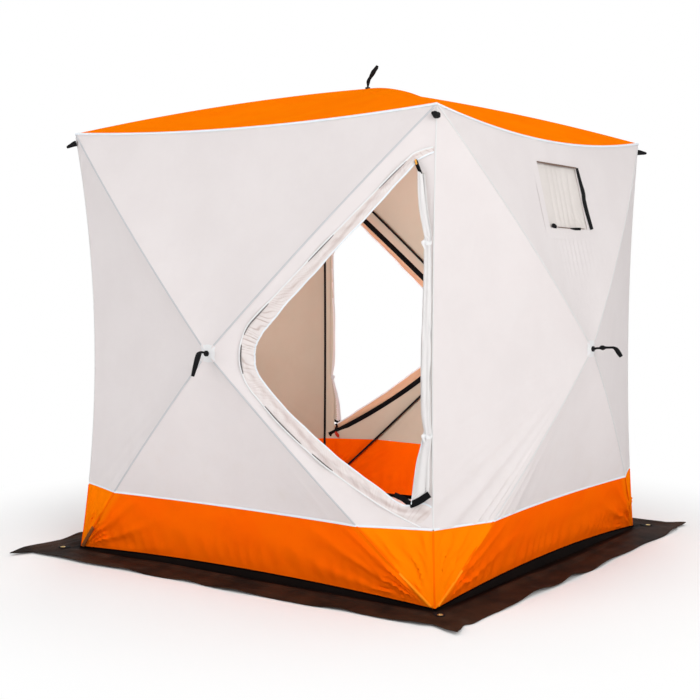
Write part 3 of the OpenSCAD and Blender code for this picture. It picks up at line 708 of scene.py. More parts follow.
def wall_fan(i, part, count, rows):
    """Outer and inner grid of one white panel of wall i, with its map, in the wall's own frame."""
    if part in ("left", "right"):
        side = -1 if part == "left" else 1
        split = BAND_H / EAVE_H
        below = count // 5
        t = np.concatenate([np.linspace(0, split, below)[:-1], np.linspace(split, 1, count - below + 1)])
        edge, mitre = seam(i, side, t), seam_mitre(side, t)
    else:
        t = np.linspace(0, 1, count)
        edge, mitre = (eave(i, t), eave_mitre(t)) if part == "top" else (foot(i, t), foot_mitre(t))
    outer, v = fan(hub(i), OUT, edge, t, hole_share(hub(i), edge), band_share(edge), rows)
    outer = outer + OUT * panel_slack(i, part, t, v, outer[..., 0], outer[..., 2])[..., None]
    inner = outer + CLOTH * mix(-OUT, mitre[:, None, :], v[..., None])
    return outer, inner, outer[..., [0, 2]]


PANEL_NAMES = {
    (FRONT, "top"): "front_top_panel", (FRONT, "left"): "front_left_panel",
    (FRONT, "bottom"): "front_bottom_panel",
    (RIGHT, "left"): "right_front_panel", (RIGHT, "right"): "right_back_panel",
    (RIGHT, "bottom"): "right_bottom_panel",
    (BACK, "top"): "back_top_panel", (BACK, "left"): "back_right_panel",
    (BACK, "bottom"): "back_bottom_panel",
    (LEFT, "left"): "left_back_panel", (LEFT, "right"): "left_front_panel",
    (LEFT, "bottom"): "left_bottom_panel",
}
PANEL_FLAT, BOTTOM_FLAT = (1.80, 0.92), (1.26, 0.63)
WHITE_SIDES = [white_cloth, tan_lining]


def wall_rods(i):
    return [WALL_NAMES[i] + "_rods", WALL_NAMES[i] + "_hub"]


def white_panel(i, name, grids, flat, ring=False):
    wall_cloth(i, name + "_cloth", grids, WHITE_SIDES, "white_fabric", name, flat, "stretched", wall_rods(i),
               ring=ring)


for (i, part), name in PANEL_NAMES.items():
    white_panel(i, name, wall_fan(i, part, 84, 40), BOTTOM_FLAT if part == "bottom" else PANEL_FLAT)


def ring_between(inside, outside, rows):
    """Straight lines from each point of one closed line to its partner on another."""
    return mix(inside[:, None, :], outside[:, None, :], np.linspace(0, 1, rows)[None, :, None])


def ring_of(pairs, rows):
    """Ring of straight lines, from stretches of (inside line, outside line, count of points)."""
    inside, outside = (np.concatenate([along_line(pair[k], pair[2]) for pair in pairs]) for k in (0, 1))
    return ring_between(inside, outside, rows)


def box_line(half_w, half_h):
    """Corners of a box round the origin, its first one again at the end."""
    return np.array([[-half_w, -half_h], [half_w, -half_h], [half_w, half_h], [-half_w, half_h],
                     [-half_w, -half_h]])


def along_line(points, count):
    """Points of a broken line spaced evenly by length, without its last point."""
    length = run_length(points)
    at = np.linspace(0, length[-1], count + 1)[:-1]
    return np.stack([np.interp(at, length, points[:, k]) for k in range(points.shape[1])], axis=1)


def flap_line(i, count=800):
    """Zip line with its top end bent over level to the corner seam, as points, ways in and lengths."""
    line, _, length = door_edge(i, count)
    top = line[0]
    level = top[1] - 0.018
    bend = np.stack([[seam_x(corner_bow(i, 1), level) - 0.004, level], top - [0.004, 0.022],
                     line[np.argmin(np.abs(length - 0.06))]])
    k = np.linspace(0, 1, 40)[:, None]
    curve = mix(mix(bend[0], bend[1], k), mix(bend[1], bend[2], k), k)
    line = along_line(np.concatenate([curve[:-1], line[length >= 0.06]]), count)
    length = run_length(line)
    along = unit(np.gradient(line, axis=0))
    return line, np.stack([-along[:, 1], along[:, 0]], axis=1), length


def fold_line(i, z):
    """Edge of the white cloth beside the corner: the hinge line, further in behind the roll's ends."""
    ends = 0.034 * np.clip((z - 1.36) / 0.22, 0, 1) + 0.024 * np.clip((0.66 - z) / 0.16, 0, 1)
    return seam_x(corner_bow(i, 1), z) - HINGE_INSET - ends


def door_panel(i):
    """Cloth round a doorway: lines from the zip line and hinge edge out to the panel's own edge.

    The outer line runs up the upper seam, down the corner, along the band and up the lower seam.
    """
    bow = corner_bow(i, 1)
    zip_line = flap_line(i, 600)[0]
    zip_line = zip_line[zip_line[:, 0] <= fold_line(i, zip_line[:, 1])]
    turn = int(np.argmin(zip_line[:, 0]))
    z = np.linspace(zip_line[0, 1], zip_line[-1, 1], 60)
    hinge = np.stack([fold_line(i, z), z], axis=1)
    z = np.linspace(EAVE_H, BAND_H, 60)
    corner = np.stack([seam_x(bow, z), z], axis=1)
    middle = np.array([0.0, HUB_Z])
    above, below = middle + HUB_CLEAR, middle + [HUB_CLEAR, -HUB_CLEAR]
    cross_x = HALF * (1 - BAND_H / HUB_Z)
    lower = zip_line[turn:][::-1]
    cut = int(len(lower) * 0.22)
    grid = ring_of([
        (zip_line[:turn + 1][::-1], np.array([above, [HALF, EAVE_H]]), 90),
        (hinge, corner, 110),
        (lower[:cut + 1], np.array([corner[-1], [cross_x, BAND_H]]), 24),
        (lower[cut:], np.array([[cross_x, BAND_H], below]), 76),
        (zip_line[turn:turn + 2], np.array([below, above]), 1),
    ], 16)
    x, z = grid[..., 0], grid[..., 1]
    y, t, v = side_face(i, x, z)
    loose = hump(np.linspace(0, 1, 16))[None, :]
    sag = 0.004 * waves(x, z, 77 + i, 5, 14.0, 34.0) * loose * np.clip((0.75 - z) / 0.3, 0.15, 1)
    outer = stack(x, y - sag, z)
    inner = outer + CLOTH * stack(-v, 1.0, -v * t)
    return outer, inner, grid


for i, wall in DOOR_WALLS:
    white_panel(i, wall + "_door_panel", door_panel(i), (2.90, 0.13), ring=True)


def window_panel(i):
    """Upper panel with its window: lines from the window's edge out to the panel's own edge."""
    box = box_line(WINDOW_W / 2, WINDOW_H / 2) + [0.0, WINDOW_Z]
    roof_edge = eave(i, np.linspace(1, 0, 80))[:, [0, 2]]
    middle = np.array([0.0, HUB_Z])
    half_way = mix(middle, np.array([HALF, EAVE_H]), 0.62)
    mirror = half_way * [-1, 1]
    by_hub = np.array([mirror, middle + [-HUB_CLEAR, HUB_CLEAR], middle + HUB_CLEAR, half_way])
    grid = ring_of([
        (box[0:2], by_hub, 90),
        (box[1:3], np.array([half_way, [HALF, EAVE_H]]), 34),
        (box[2:4], roof_edge, 90),
        (box[3:5], np.array([[-HALF, EAVE_H], mirror]), 34),
    ], 30)
    x, z = grid[..., 0], grid[..., 1]
    y = top_face(i, x, z)
    v = (z - HUB_Z) / (EAVE_H - HUB_Z)
    held = np.linspace(1, 0, 30)[None, :]
    sag = 0.0022 * waves(x, z, 31 + i, 5, 8.0, 18.0) * hump(held) ** 0.5
    sag = sag + 0.0022 * ridge(170 * x) * bell(z, 1.30, 0.09) * bell(x, 0.03, 0.16) * hump(held)
    outer = stack(x, y - sag, z)
    inner = outer + CLOTH * stack(-x / HALF, 1.0, -v)
    return outer, inner, grid


for i, wall in WINDOW_WALLS:
    white_panel(i, wall + "_window_panel", window_panel(i), PANEL_FLAT, ring=True)


def band_fan(i, rows=26):
    """Coloured band of wall i: the lower ends of the rays that reach below its top edge.

    Pulled ridges spread from both ground corners and short ripples run along the hem. The last
    grid tells the cloth beyond the rod seams from the cloth between them, with streaks where they
    meet.
    """
    split = 0.985 * BAND_H / EAVE_H
    even = np.linspace(0, 1, 170)
    side_t, foot_t = np.linspace(split, 0, 24), 0.4 * even + 0.3 * (1 - np.cos(math.pi * even))
    edges = [seam(i, -1, side_t), foot(i, foot_t)[1:-1], seam(i, 1, side_t[::-1])]
    mitres = [seam_mitre(-1, side_t), foot_mitre(foot_t)[1:-1], seam_mitre(1, side_t[::-1])]
    t = np.concatenate([side_t, foot_t[1:-1], side_t[::-1]])
    edge, mitre = np.concatenate(edges), np.concatenate(mitres)
    outer, v = fan(hub(i), OUT, edge, t, band_share(edge), np.ones(len(edge)), rows)
    x, z = outer[..., 0], outer[..., 2]
    ridges = 0.0
    for side in (-1, 1):
        across = np.maximum(HALF - side * x, 1e-4)
        angle, reach = np.arctan2(z, across), np.hypot(z, across)
        turn = 52 * angle + 5 * np.sin(3 * angle + i) + 2 * np.sin(30 * reach) + side
        fine = 0.9 * ridge(turn) * bell(reach, 0.15, 0.13)
        broad = ridge(26 * angle + 2 * side + i + 1.2 * np.sin(5 * reach)) * bell(reach, 0.26, 0.24)
        ridges = ridges + (broad + fine) * np.clip(reach / 0.1, 0, 1)
    drape = 0.0024 * waves(x, 2.2 * z, 51 + i, 6, 9.0, 30.0) * np.clip((BAND_H - z) / 0.1, 0, 1)
    held = np.clip((1 - v) / 0.05, 0, 1) * np.clip((BAND_H - z) / 0.03, 0, 1)
    hem = 0.0035 * np.sin(88 * x + 3 * np.sin(11 * x + i)) * bell(v, 0.93, 0.06)
    outer = outer + OUT * ((0.0040 * ridges + drape + hem) * held)[..., None]
    inner = outer + CLOTH * mix(-OUT, mitre[:, None, :], v[..., None])
    inward = HALF * (1 - z / HUB_Z) - np.abs(x)
    corner = np.clip(1 - (inward + 0.006 * ridges) / 0.045, 0, 1)
    return outer, inner, outer[..., [0, 2]], corner


for i, wall in enumerate(WALL_NAMES):
    *grids, corner = band_fan(i)
    wall_cloth(i, wall + "_band_cloth", grids, [band_cloth, orange_lining], "orange_fabric", wall + "_band",
               (1.82, 0.31), "stretched", wall_rods(i), values={"corner": corner})


def roof_fan(count=84, rows=44):
    """Roof: four fans from the roof hub to the sagging edges, as one closed round of rays."""
    t = np.linspace(0, 1, count + 1)[:-1]
    edge = np.concatenate([on_wall(i, eave(i, t)) for i in range(4)])
    mitre = np.concatenate([on_wall(i, eave_mitre(t)) for i in range(4)])
    t = np.tile(t, 4)
    outer, v = fan(ROOF_HUB, UP, edge, t, hole_share(ROOF_HUB, edge), np.ones(len(edge)), rows)
    x, y = outer[..., 0], outer[..., 1]
    held = np.sin(math.pi * v) * hump(t)[:, None] ** 0.5
    lift = 0.0025 * waves(x, y, 5, 6, 6.0, 15.0) * held
    lift = lift + 0.0014 * (ridge(75 * t + 2 * np.sin(14 * t)) * (1 - hump(t)))[:, None] * np.sin(math.pi * v)
    outer = outer + UP * lift[..., None]
    inner = outer + CLOTH * mix(-UP, mitre[:, None, :], v[..., None])
    return outer, inner, outer[..., :2]


cloth_piece("roof_canopy_cloth", *roof_fan(), [roof_cloth, orange_lining], "orange_fabric", ["roof_canopy"],
            (1.88, 1.88), "stretched", ["roof_rods", "roof_hub"], ring=True)


def snow_skirt(i, count=170, rows=26):
    """Snow skirt: a lip on the foot of the wall, a drop to the ice and a flap that lies on it.

    The flap has a long fold beside the wall, its edge wanders a little and turns up at the
    corners, and the cloth between lies in low waves.
    """
    u = np.linspace(0, 1, count)[:, None]
    rise = BASE_RISE[i] * hump(u)
    k = np.linspace(0, 1, rows)[None, :]
    knots = np.array([0, 0.08, 0.24, 1.0])
    flat = np.clip((k - 0.24) / 0.76, 0, 1)
    x0 = 2 * u - 1
    inside = np.clip((1 - np.abs(x0)) / 0.10, 0, 1)
    wander = 0.005 * np.sin(7 * x0 + 2 * i) + 0.004 * np.sin(19 * x0 + i) + 0.012 * hump(u)
    notch = np.where(x0 < 0, SKIRT_NOTCHES[i], SKIRT_NOTCHES[(i + 1) % 4]) * bell(np.abs(x0), 0.93, 0.03)
    c, s = QUARTER_TURNS[i]
    tip_x, tip_y = SKIRT_TIPS[[i, (i + 1) % 4]].T
    near = flat * np.clip((np.abs(x0) - 0.93) / 0.07, 0, 1)
    tip_along, tip_out = (near * np.where(x0 < 0, *row)
                          for row in (c * tip_x + s * tip_y, s * tip_x - c * tip_y))
    reach = np.interp(k, knots, [0.0039, 0.0003, 0.010, SKIRT_W]) + flat * (wander * inside - notch)
    fall = np.interp(k, knots, [1, 1, 0, 0])
    x = (HALF + reach) * x0 + tip_along
    reach = reach + tip_out
    lip = 0.008 * np.clip(1 - k / 0.08, 0, 1)
    wave = 0.5 + 0.5 * np.sin(13 * x + 2.2 * np.sin(5 * x + i) + 4 * flat)
    lift = 0.007 * wave ** 2 * flat + 0.005 * np.maximum(waves(x, 5 * reach, 91 + i, 4, 9.0, 26.0), 0) * flat
    fold = 0.012 * bell(flat, 0.30 + 0.05 * np.sin(4 * x0 + i), 0.09) * hump(u) ** 0.5
    tip = 0.010 * flat ** 3 * bell(np.abs(x0), 1.0, 0.05)
    under = stack(x, -(HALF + reach), fall * rise + lip + (lift + fold) * inside + tip)
    lean = np.clip(1 - flat * 6, 0, 1)
    over = under + CLOTH * stack(0.0, -lean, np.where(k < 0.08, 0.0, np.where(flat > 0, 1.0, 0.5)))
    # Share of the near-black painted shade beside the wall, under the band
    wall = np.clip(1 - (flat - 0.06 - 0.05 * np.sin(9 * x0 + i)) / 0.25, 0, 1)
    return over, under, stack(x, HALF + reach + fall * rise), wall


for i, wall in enumerate(WALL_NAMES):
    *grids, wall_shade = snow_skirt(i)
    wall_cloth(i, wall + "_snow_skirt_cloth", grids, [skirt_cloth, skirt_cloth], "skirt_fabric",
               wall + "_snow_skirt", (2.18, 0.22), "laid", [wall + "_band_cloth"], values={"wall": wall_shade})


# Doors


# Places along a flap, as (share, half length), where its sewn edge gapes and a dark strip paints the gap's
# shadow
FLAP_SLITS = ((0.085, 0.035), (0.27, 0.035), (0.455, 0.040), (0.540, 0.028), (0.69, 0.050), (0.79, 0.025))
# Sewn and free widths of each flap in millimetres at shares of its length
FLAP_WIDTHS = {
    FRONT: [[0.0, 5, 11], [0.04, 8, 17], [0.12, 9, 26], [0.25, 9, 32], [0.38, 9, 39], [0.50, 9, 51],
            [0.60, 13, 41], [0.68, 20, 33], [0.80, 27, 25], [0.90, 28, 19], [0.945, 26, 16],
            [0.962, 24, 28], [0.98, 22, 60], [1.0, 18, 64]],
    BACK: [[0.0, 5, 11], [0.04, 8, 20], [0.12, 9, 30], [0.25, 9, 36], [0.38, 9, 42], [0.50, 9, 50],
           [0.62, 9, 50], [0.78, 9, 52], [0.90, 9, 44], [0.96, 9, 36], [1.0, 9, 34]],
}


def storm_flap(i, rows=15):
    """Gathered strip along the zip line: sewn outside it, free inside it, narrow at its top end.

    Uneven gathers, puffed between narrow valleys, lie nearly level across the strip, strong round
    the turn and at the ends. Along the straight runs they give way to long folds, and the sewn edge
    gapes in places. The last grid tells how deep in a fold the cloth is.
    """
    line, way, length = flap_line(i)
    total = length[-1]
    k = length / total
    widths = smooth_line(FLAP_WIDTHS[i], 300)
    sewn_w, free_w = (np.interp(k, widths[:, 0], widths[:, n])[:, None] / 1000 for n in (1, 2))
    free = np.linspace(0, 1, rows)[None, :]
    run = length[:, None]
    across = mix(-sewn_w, free_w, free)
    turn = bell(k, 0.49, 0.105) + 0.07 + 0.5 * bell(k, 0.01, 0.02) + 0.25 * bell(k, 0.97, 0.03)
    turn = np.clip(turn, 0, 1)[:, None]
    slant = 370 * run + 4.5 * np.sin(31 * run) + 2.6 * np.sin(83 * run + 1)
    slant = slant - 190.0 * (k[:, None] - 0.5) * free
    uneven = 0.62 + 0.26 * np.sin(57 * run + 1) + 0.22 * np.sin(139 * run + 4 * free)
    gather = turn * (0.8 - ridge(slant)) * uneven
    long_fold = np.sin(8 * free + 2.2 * np.sin(run / 0.12 + i) + 1.0)
    crinkle = waves(60 * run, 9 * free, 23 + i, 7, 0.8, 2.8)
    ends = np.clip(np.minimum(length, total - length) / 0.02, 0, 1)[:, None]
    wander = 0.0010 * np.sin(run / 0.045) + 0.0006 * np.sin(run / 0.019 + 1)
    place = line[:, None, :] + way[:, None, :] * (across + wander * free * ends)[..., None]
    px = np.minimum(place[..., 0], seam_x(corner_bow(i, 1), place[..., 1]) - 0.007)
    y = side_face(i, px, place[..., 1])[0]
    gape = sum(bell(k, at, half) for at, half in FLAP_SLITS)[:, None]
    loose = (1 - turn) * hump(np.clip(free, 0.02, 0.98))
    lift = 0.0006 + 0.0019 * (gather + 0.6) * (0.3 + 0.7 * free) + 0.005 * free * (1 - free)
    lift = lift + loose * (0.0018 * (1 + long_fold) + 0.0014 * crinkle)
    lift = lift + 0.0045 * gape * np.clip(1 - 3 * free, 0, 1)
    lift = np.maximum(lift, 0.0003) * ends
    outer = stack(px, y - lift - CLOTH * 0.7, place[..., 1])
    inner = stack(px, y - lift, place[..., 1])
    # How deep in a fold the cloth is; the flap's material darkens it there as painted shade
    fold = np.clip(0.12 - 1.5 * gather, 0, 1) * (0.3 + 0.7 * hump(np.clip(free, 0.1, 0.9)))
    fold = fold + 0.34 * loose * np.clip(-long_fold, 0, 1) + 0.20 * loose * np.clip(crinkle, 0, 1)
    return outer, inner, stack(run, across), np.clip(fold, 0, 1)


def flap_gap_shadow(i, outer, at, half):
    """Painted shadow of the gap beside the flap's sewn edge: a dark strip near the second row, pointed at
    both ends.
    """
    k = np.linspace(0, 1, len(outer))
    pick = np.abs(k - at) < half
    share = (k[pick] - at) / half
    path = outer[pick, 0] * 0.45 + outer[pick, 2] * 0.55 + OUT * 0.0010
    wide = 0.0070 + 0.0025 * bell(at, 0.54, 0.04)
    return wall_strip(i, path, wide * np.sqrt(1 - share ** 2) + 0.0006, 0.0020)


for i, wall in DOOR_WALLS:
    *grids, fold = storm_flap(i)
    wall_cloth(i, wall + "_storm_flap_cloth", grids, [flap_cloth, flap_lining], "white_fabric",
               wall + "_storm_flap", (2.07, 0.060), "gathered", [wall + "_door_panel_cloth"],
               values={"fold": fold})
    outer, inner, _ = grids
    seam_strip = wall_strip(i, outer[::2, 0] + OUT * 0.0004, 0.006, 0.004)
    trim(wall + "_storm_flap_seam", seam_strip, patch_tape, "white_fabric")
    binding = wall_strip(i, (outer[::2, -1] + inner[::2, -1]) / 2, 0.0075, 0.0055)
    trim(wall + "_storm_flap_binding", binding, piping_tape, "white_fabric")
    gap_shadows = join(*[flap_gap_shadow(i, outer, at, half) for at, half in FLAP_SLITS])
    trim(wall + "_storm_flap_slits", gap_shadows, slit_tape, "white_fabric")


def zip_strip(i):
    """Zip tape on the back of the doorway's edge, with a raised row of teeth along its middle."""
    line, way, length = door_edge(i, 300)
    profile = np.array([-12, -7, -3.2, -2.6, 2.6, 3.2, 7, 12]) / 12 * ZIP_W / 2
    height = np.array([0.0, 0.0004, 0.0005, 0.0022, 0.0022, 0.0005, 0.0004, 0.0])
    at = line[:, None, :] + way[:, None, :] * profile[None, :, None]
    shift = CLOTH * at[..., 0] / HALF
    y = side_face(i, at[..., 0] + shift, at[..., 1] + shift * at[..., 1] / EAVE_H)[0]
    front = stack(at[..., 0], y + CLOTH + 0.0005, at[..., 1])
    back = stack(at[..., 0], y + CLOTH + 0.0017 + height, at[..., 1])
    return back, front, stack(length[:, None], profile[None, :])


for i, wall in DOOR_WALLS:
    wall_cloth(i, wall + "_door_zip_tape", zip_strip(i), [zip_tape, zip_tape], "black_webbing",
               wall + "_door_zip", (2.04, 0.024), "stretched", [wall + "_door_panel_cloth"])


# Rolled door at heights in metres: half width, shift of its middle from the hinge line and half
# depth, in millimetres
ROLL_SHAPE = [[0.390, 32, -10, 9], [0.46, 27, -5, 10], [0.514, 22, 2, 10.5], [0.56, 18, 9, 11],
              [0.625, 12, 20, 10], [0.71, 15, 15, 12], [0.86, 17, 15.5, 14], [0.97, 17, 17, 14],
              [1.207, 14, 19, 12], [1.308, 11, 15, 9], [1.341, 13, 15.5, 10], [1.436, 15, -2, 10],
              [1.555, 13, -13, 8]]
TIE_HEIGHTS = (1.308, 0.622)


def door_bundle(i, rows=96, turns=140):
    """Door gathered and rolled up along its hinge edge: a flattened spiral of the door's width.

    The radius follows the square root of the width that is left to wind, so the rounds lie at an
    even pitch; two ties draw it in, its ends fall open and its end rows lie askew. Returns the
    grids, how deep in a fold the cloth is, and the roll's middle, slope and half sizes by height.
    """
    z = np.linspace(ROLL_FOOT_Z, ROLL_TOP_Z, rows)
    shape = smooth_line(ROLL_SHAPE, 240)
    half, side, deep = (np.interp(z, shape[:, 0], shape[:, k]) / 1000 for k in (1, 2, 3))
    line, _, _ = door_edge(i)
    turn = int(np.argmin(line[:, 0]))
    hinge = seam_x(corner_bow(i, 1), z) - HINGE_INSET
    upper = np.interp(z, line[:turn + 1, 1][::-1], line[:turn + 1, 0][::-1])
    lower = np.interp(z, line[turn:, 1][::-1], line[turn:, 0][::-1])
    width = np.maximum(hinge - np.where(z > line[turn, 1], upper, lower), 0.09)
    w = (z - z[0]) / (z[-1] - z[0])
    outer_r = np.sqrt(half * deep)
    core = 0.0040
    q = np.linspace(0, 1, turns)[None, :]
    r = np.sqrt(outer_r[:, None] ** 2 * (1 - q) + core ** 2 * q)
    angle = 2 * width[:, None] * (outer_r[:, None] - r) / (outer_r ** 2 - core ** 2)[:, None]
    angle = angle - 0.6 + 0.5 * np.sin(3 * w)[:, None]
    crease = 0.10 * np.sin(4 * angle + 5 * w[:, None]) + 0.07 * np.sin(7 * angle - 9 * w[:, None] + 1)
    share = r / outer_r[:, None]
    bunch = share * (1 + (crease + 0.05 * waves(40 * z[:, None], 1.5 * angle, 3 + i, 4, 0.8, 2.0)) * share)
    mid_x = hinge + side - (0.012 if i == BACK else 0.0)
    y = side_face(i, mid_x, z)[0]
    mid_y = y - 0.0075 - 1.1 * deep
    slope = (side_face(i, mid_x + 0.01, z)[0] - side_face(i, mid_x - 0.01, z)[0]) / 0.02
    across = half[:, None] * bunch * np.cos(angle)
    tilt = 0.55 * (1 - w) ** 6 - 0.5 * w ** 10
    depth = y[:, None] + slope[:, None] * across - 0.0075 - 1.1 * deep[:, None]
    depth = depth + deep[:, None] * bunch * np.sin(angle)
    outer = stack(mid_x[:, None] + across, depth, z[:, None] + tilt[:, None] * across)
    along_z, along_q = np.gradient(outer, axis=0), np.gradient(outer, axis=1)
    normal = unit(np.cross(along_q, along_z))
    inner = outer - 0.0009 * normal
    # How deep in a crease the cloth is; the roll's material greys it there as painted shade
    fold = np.clip(-crease / 0.13, 0, 1)
    uv = stack(width[:, None] * q, z[:, None])
    return (outer, inner, uv), fold, (mid_x, mid_y, slope, half, deep, z)


def tie_ring(i, ring, height, width=0.014):
    """Webbing tie round the bundle: a flat oval profile carried round an ellipse."""
    k = int(np.argmin(np.abs(ring[-1] - height)))
    mid_x, mid_y, slope, half, deep, z = (row[k] for row in ring)
    a = round_angles(40)
    across = (half * 1.08 + 0.001) * np.cos(a)
    depth = mid_y + slope * across + (deep * 1.08 + 0.001) * np.sin(a)
    path = stack(mid_x + across, depth, z + 0.004 * np.sin(2 * a))
    out = unit(path - path.mean(axis=0))
    along = unit(np.roll(path, -1, axis=0) - np.roll(path, 1, axis=0))
    across_way = np.cross(along, out)[:, None, :]
    profile = oval(width, 0.0022, 8, 4.0)[None]
    points = path[:, None, :] + profile[..., :1] * across_way + profile[..., 1:] * out[:, None, :]
    points = points.reshape(-1, 3)
    faces = facing_out(points, grid_faces(len(path), 8, True, True))
    front = np.array([mid_x - 0.4 * half, mid_y - deep * 1.1 - 0.002 - 0.4 * slope * half, z])
    tail = smooth_line(front + np.array([[0, 0.001, 0.006], [-0.004, -0.004, 0.0], [-0.001, -0.003, -0.010],
                                         [0.003, -0.001, -0.022]]), 24)
    size = smooth_line([[0.008, 0.004], [0.013, 0.009], [0.010, 0.005], [0.007, 0.003]], 24)
    return join((on_wall(i, points), faces), wall_tube(i, tail, oval(size[:, 0], size[:, 1], 10)))


def line_behind(bundle, outer, ring):
    """Gives the faces at the back of a bundle the second, tan material as painted shade, and all others the
    first.
    """
    mid_x, mid_y, _, half, deep, _ = (row[:, None] for row in ring)
    reach = np.clip((outer[..., 0] - mid_x) / half, 0, 1)
    behind = (outer[..., 1] > mid_y + deep * (0.2 + 0.9 * reach)).ravel()
    corners = np.empty(4 * len(bundle.data.polygons), dtype=np.int32)
    bundle.data.polygons.foreach_get("vertices", corners)
    # Faces at the back of the roll take the tan: painted shade on its side away from the light
    tan = np.concatenate([behind, behind])[corners.reshape(-1, 4)].all(axis=1)
    bundle.data.polygons.foreach_set("material_index", tan.astype(np.int32))


FOOT_ROWS = 21
for i, wall in DOOR_WALLS:
    grids, fold, ring = door_bundle(i)
    bundle = wall_cloth(i, wall + "_door_bundle", grids, [bundle_cloth, tan_lining], "white_fabric",
                        wall + "_door_roll", (1.17, 0.70), "folded", [wall + "_door_panel_cloth"],
                        values={"fold": fold}, sharp=60)
    outer = grids[0]
    line_behind(bundle, outer, ring)
    ties = join(*[tie_ring(i, ring, height) for height in TIE_HEIGHTS])
    trim(wall + "_door_ties", ties, patch_tape, "white_fabric")
    edge = outer[np.arange(FOOT_ROWS), np.argmin(outer[:FOOT_ROWS, :, 0], axis=1)]
    edge = smooth_line((edge + np.array([-0.0015, -0.001, 0.0]))[::4], 40)
    binding = wall_strip(i, edge, 0.008, 0.004, np.array([-0.8, -0.6, 0.0]))
    trim(wall + "_door_edge_binding", binding, piping_tape, "white_fabric")


# Windows


def window_blind(i, rows=70, cols=40):
    """Blind behind the window: a slack sheet with upright creases, held along its upper edge."""
    wide, tall = WINDOW_W / 2 + 0.030, WINDOW_H / 2 + 0.030
    x = np.linspace(-wide, wide, rows)[:, None]
    z = WINDOW_Z + np.linspace(-tall, tall, cols)[None, :]
    shift = CLOTH * (z - HUB_Z) / (EAVE_H - HUB_Z)
    y = top_face(i, x + CLOTH * x / HALF, z + shift) + CLOTH + 0.0012
    hang = np.clip((WINDOW_Z + tall - z) / (2 * tall), 0, 1)
    crease = ridge(75 * x + 6 * np.sin(14 * x) + 1.5 * hang) * (0.3 + 0.7 * hang)
    pull = ridge(190 * (x + 0.75 * (z - WINDOW_Z))) * bell(x, 0.12, 0.07) * bell(z, WINDOW_Z - 0.10, 0.06)
    back = 0.0028 + 0.0028 * crease + 0.0018 * pull + 0.0008 * waves(x, z, 71 + i, 4, 20.0, 60.0)
    inside = np.clip(np.minimum(wide - np.abs(x), tall - np.abs(z - WINDOW_Z)) / 0.03, 0, 1)
    outer = stack(x, y + np.maximum(back, 0) * inside, z)
    inner = outer + CLOTH * 0.6 * -OUT
    return outer, inner, stack(x, z)


def window_border(i, wide=0.045, depth=0.0007):
    """Flat border round the window on the upper panel, as rows round the window's edge."""
    inside = box_line(WINDOW_W / 2, WINDOW_H / 2)
    outside = inside + wide * np.sign(inside)
    grid = ring_of([(inside[k:k + 2], outside[k:k + 2], 24) for k in range(4)], 6) + [0.0, WINDOW_Z]
    x, z = grid[..., 0], grid[..., 1]
    y = top_face(i, x, z)
    puff = depth * np.array([0.35, 1.0, 0.8, 0.8, 1.0, 0.35])[None, :]
    return stack(x, y - 0.0004 - puff, z), stack(x, y + 0.0003, z), grid


def panel_strip(i, rows, lift, count=40):
    """Flat tape through rows of (x, z, width) on the upper panel, lifted off its outer face."""
    line = smooth_line(rows, count)
    path = stack(line[:, 0], top_face(i, line[:, 0], line[:, 1]) - lift, line[:, 1])
    return wall_tube(i, path, oval(line[:, 2], 0.0024, 8, 4.0))


for i, wall in WINDOW_WALLS:
    wall_cloth(i, wall + "_window_blind_cloth", window_blind(i), [blind_cloth, tan_lining], "white_fabric",
               wall + "_window_blind", (0.43, 0.32), "hung", [wall + "_window_panel_cloth"])
    wall_patch(i, wall + "_window_border", window_border(i), white_cloth)
    right, half_h = WINDOW_W / 2 - 0.006, WINDOW_H / 2
    low, top = WINDOW_Z - half_h + 0.004, WINDOW_Z + half_h - 0.002
    side_tape = [[right + 0.014, top, 0.022], [right + 0.021, top - 0.06, 0.028],
                 [right + 0.027, top - 0.105, 0.036], [right + 0.021, top - 0.135, 0.036],
                 [right + 0.024, top - 0.185, 0.033], [right + 0.035, low - 0.003, 0.030]]
    corner_tape = [[-right + 0.014, low + 0.005, 0.015], [-right + 0.030, low + 0.004, 0.019],
                   [-right + 0.052, low, 0.012]]
    foot_tape = [[0.010, low - 0.003, 0.004], [0.060, low - 0.004, 0.011], [0.105, low - 0.003, 0.011]]
    tapes = join(panel_strip(i, side_tape, 0.0034), panel_strip(i, corner_tape, 0.0028, 12),
                 panel_strip(i, foot_tape, 0.0026))
    trim(wall + "_window_tapes", tapes, zip_tape, "black_webbing")
    # Brown strips at the window's top and foot: painted shadow under the border's hems
    top_hem = [[-right - 0.006, top + 0.003, 0.006], [0.0, top + 0.001, 0.008], [right + 0.012, top, 0.006]]
    foot_hem = [[-right + 0.060, low, 0.003], [0.0, low - 0.002, 0.004], [0.14, low - 0.002, 0.003]]
    hem_shadows = join(*[panel_strip(i, hem, 0.0022) for hem in (top_hem, foot_hem)])
    trim(wall + "_window_hems", hem_shadows, brown_tape, "white_fabric")


# Seams, piping and patches


def seam_path(i, corner, first, last, count=60):
    """Line of a rod seam over the cloth, from share first to share last of the way to a corner."""
    v = np.linspace(first, last, count)[:, None]
    return mix(hub(i), corner, v) + OUT * ROD_BOW * hump(v)


def wall_corner(side, top):
    return np.array([side * HALF, -HALF, EAVE_H if top > 0 else 0.0])


# Rod pockets at the ground corners: lift off the cloth, shift towards the wall's middle, width and
# height in metres, and the share of the rod at which they start
ROD_POCKETS = ((0.005, 0.007, 0.017, 0.009, 0.88), (0.0015, 0.0, 0.011, 0.009, 0.86),
               (-0.0005, 0.0, 0.010, 0.005, 0.86), (-0.0005, 0.0, 0.010, 0.005, 0.86))
BAND_AT = (HUB_Z - BAND_H) / HUB_Z


def rod_seam(i, side, top, first, last, width, height):
    return wall_strip(i, seam_path(i, wall_corner(side, top), first, last), width, height)


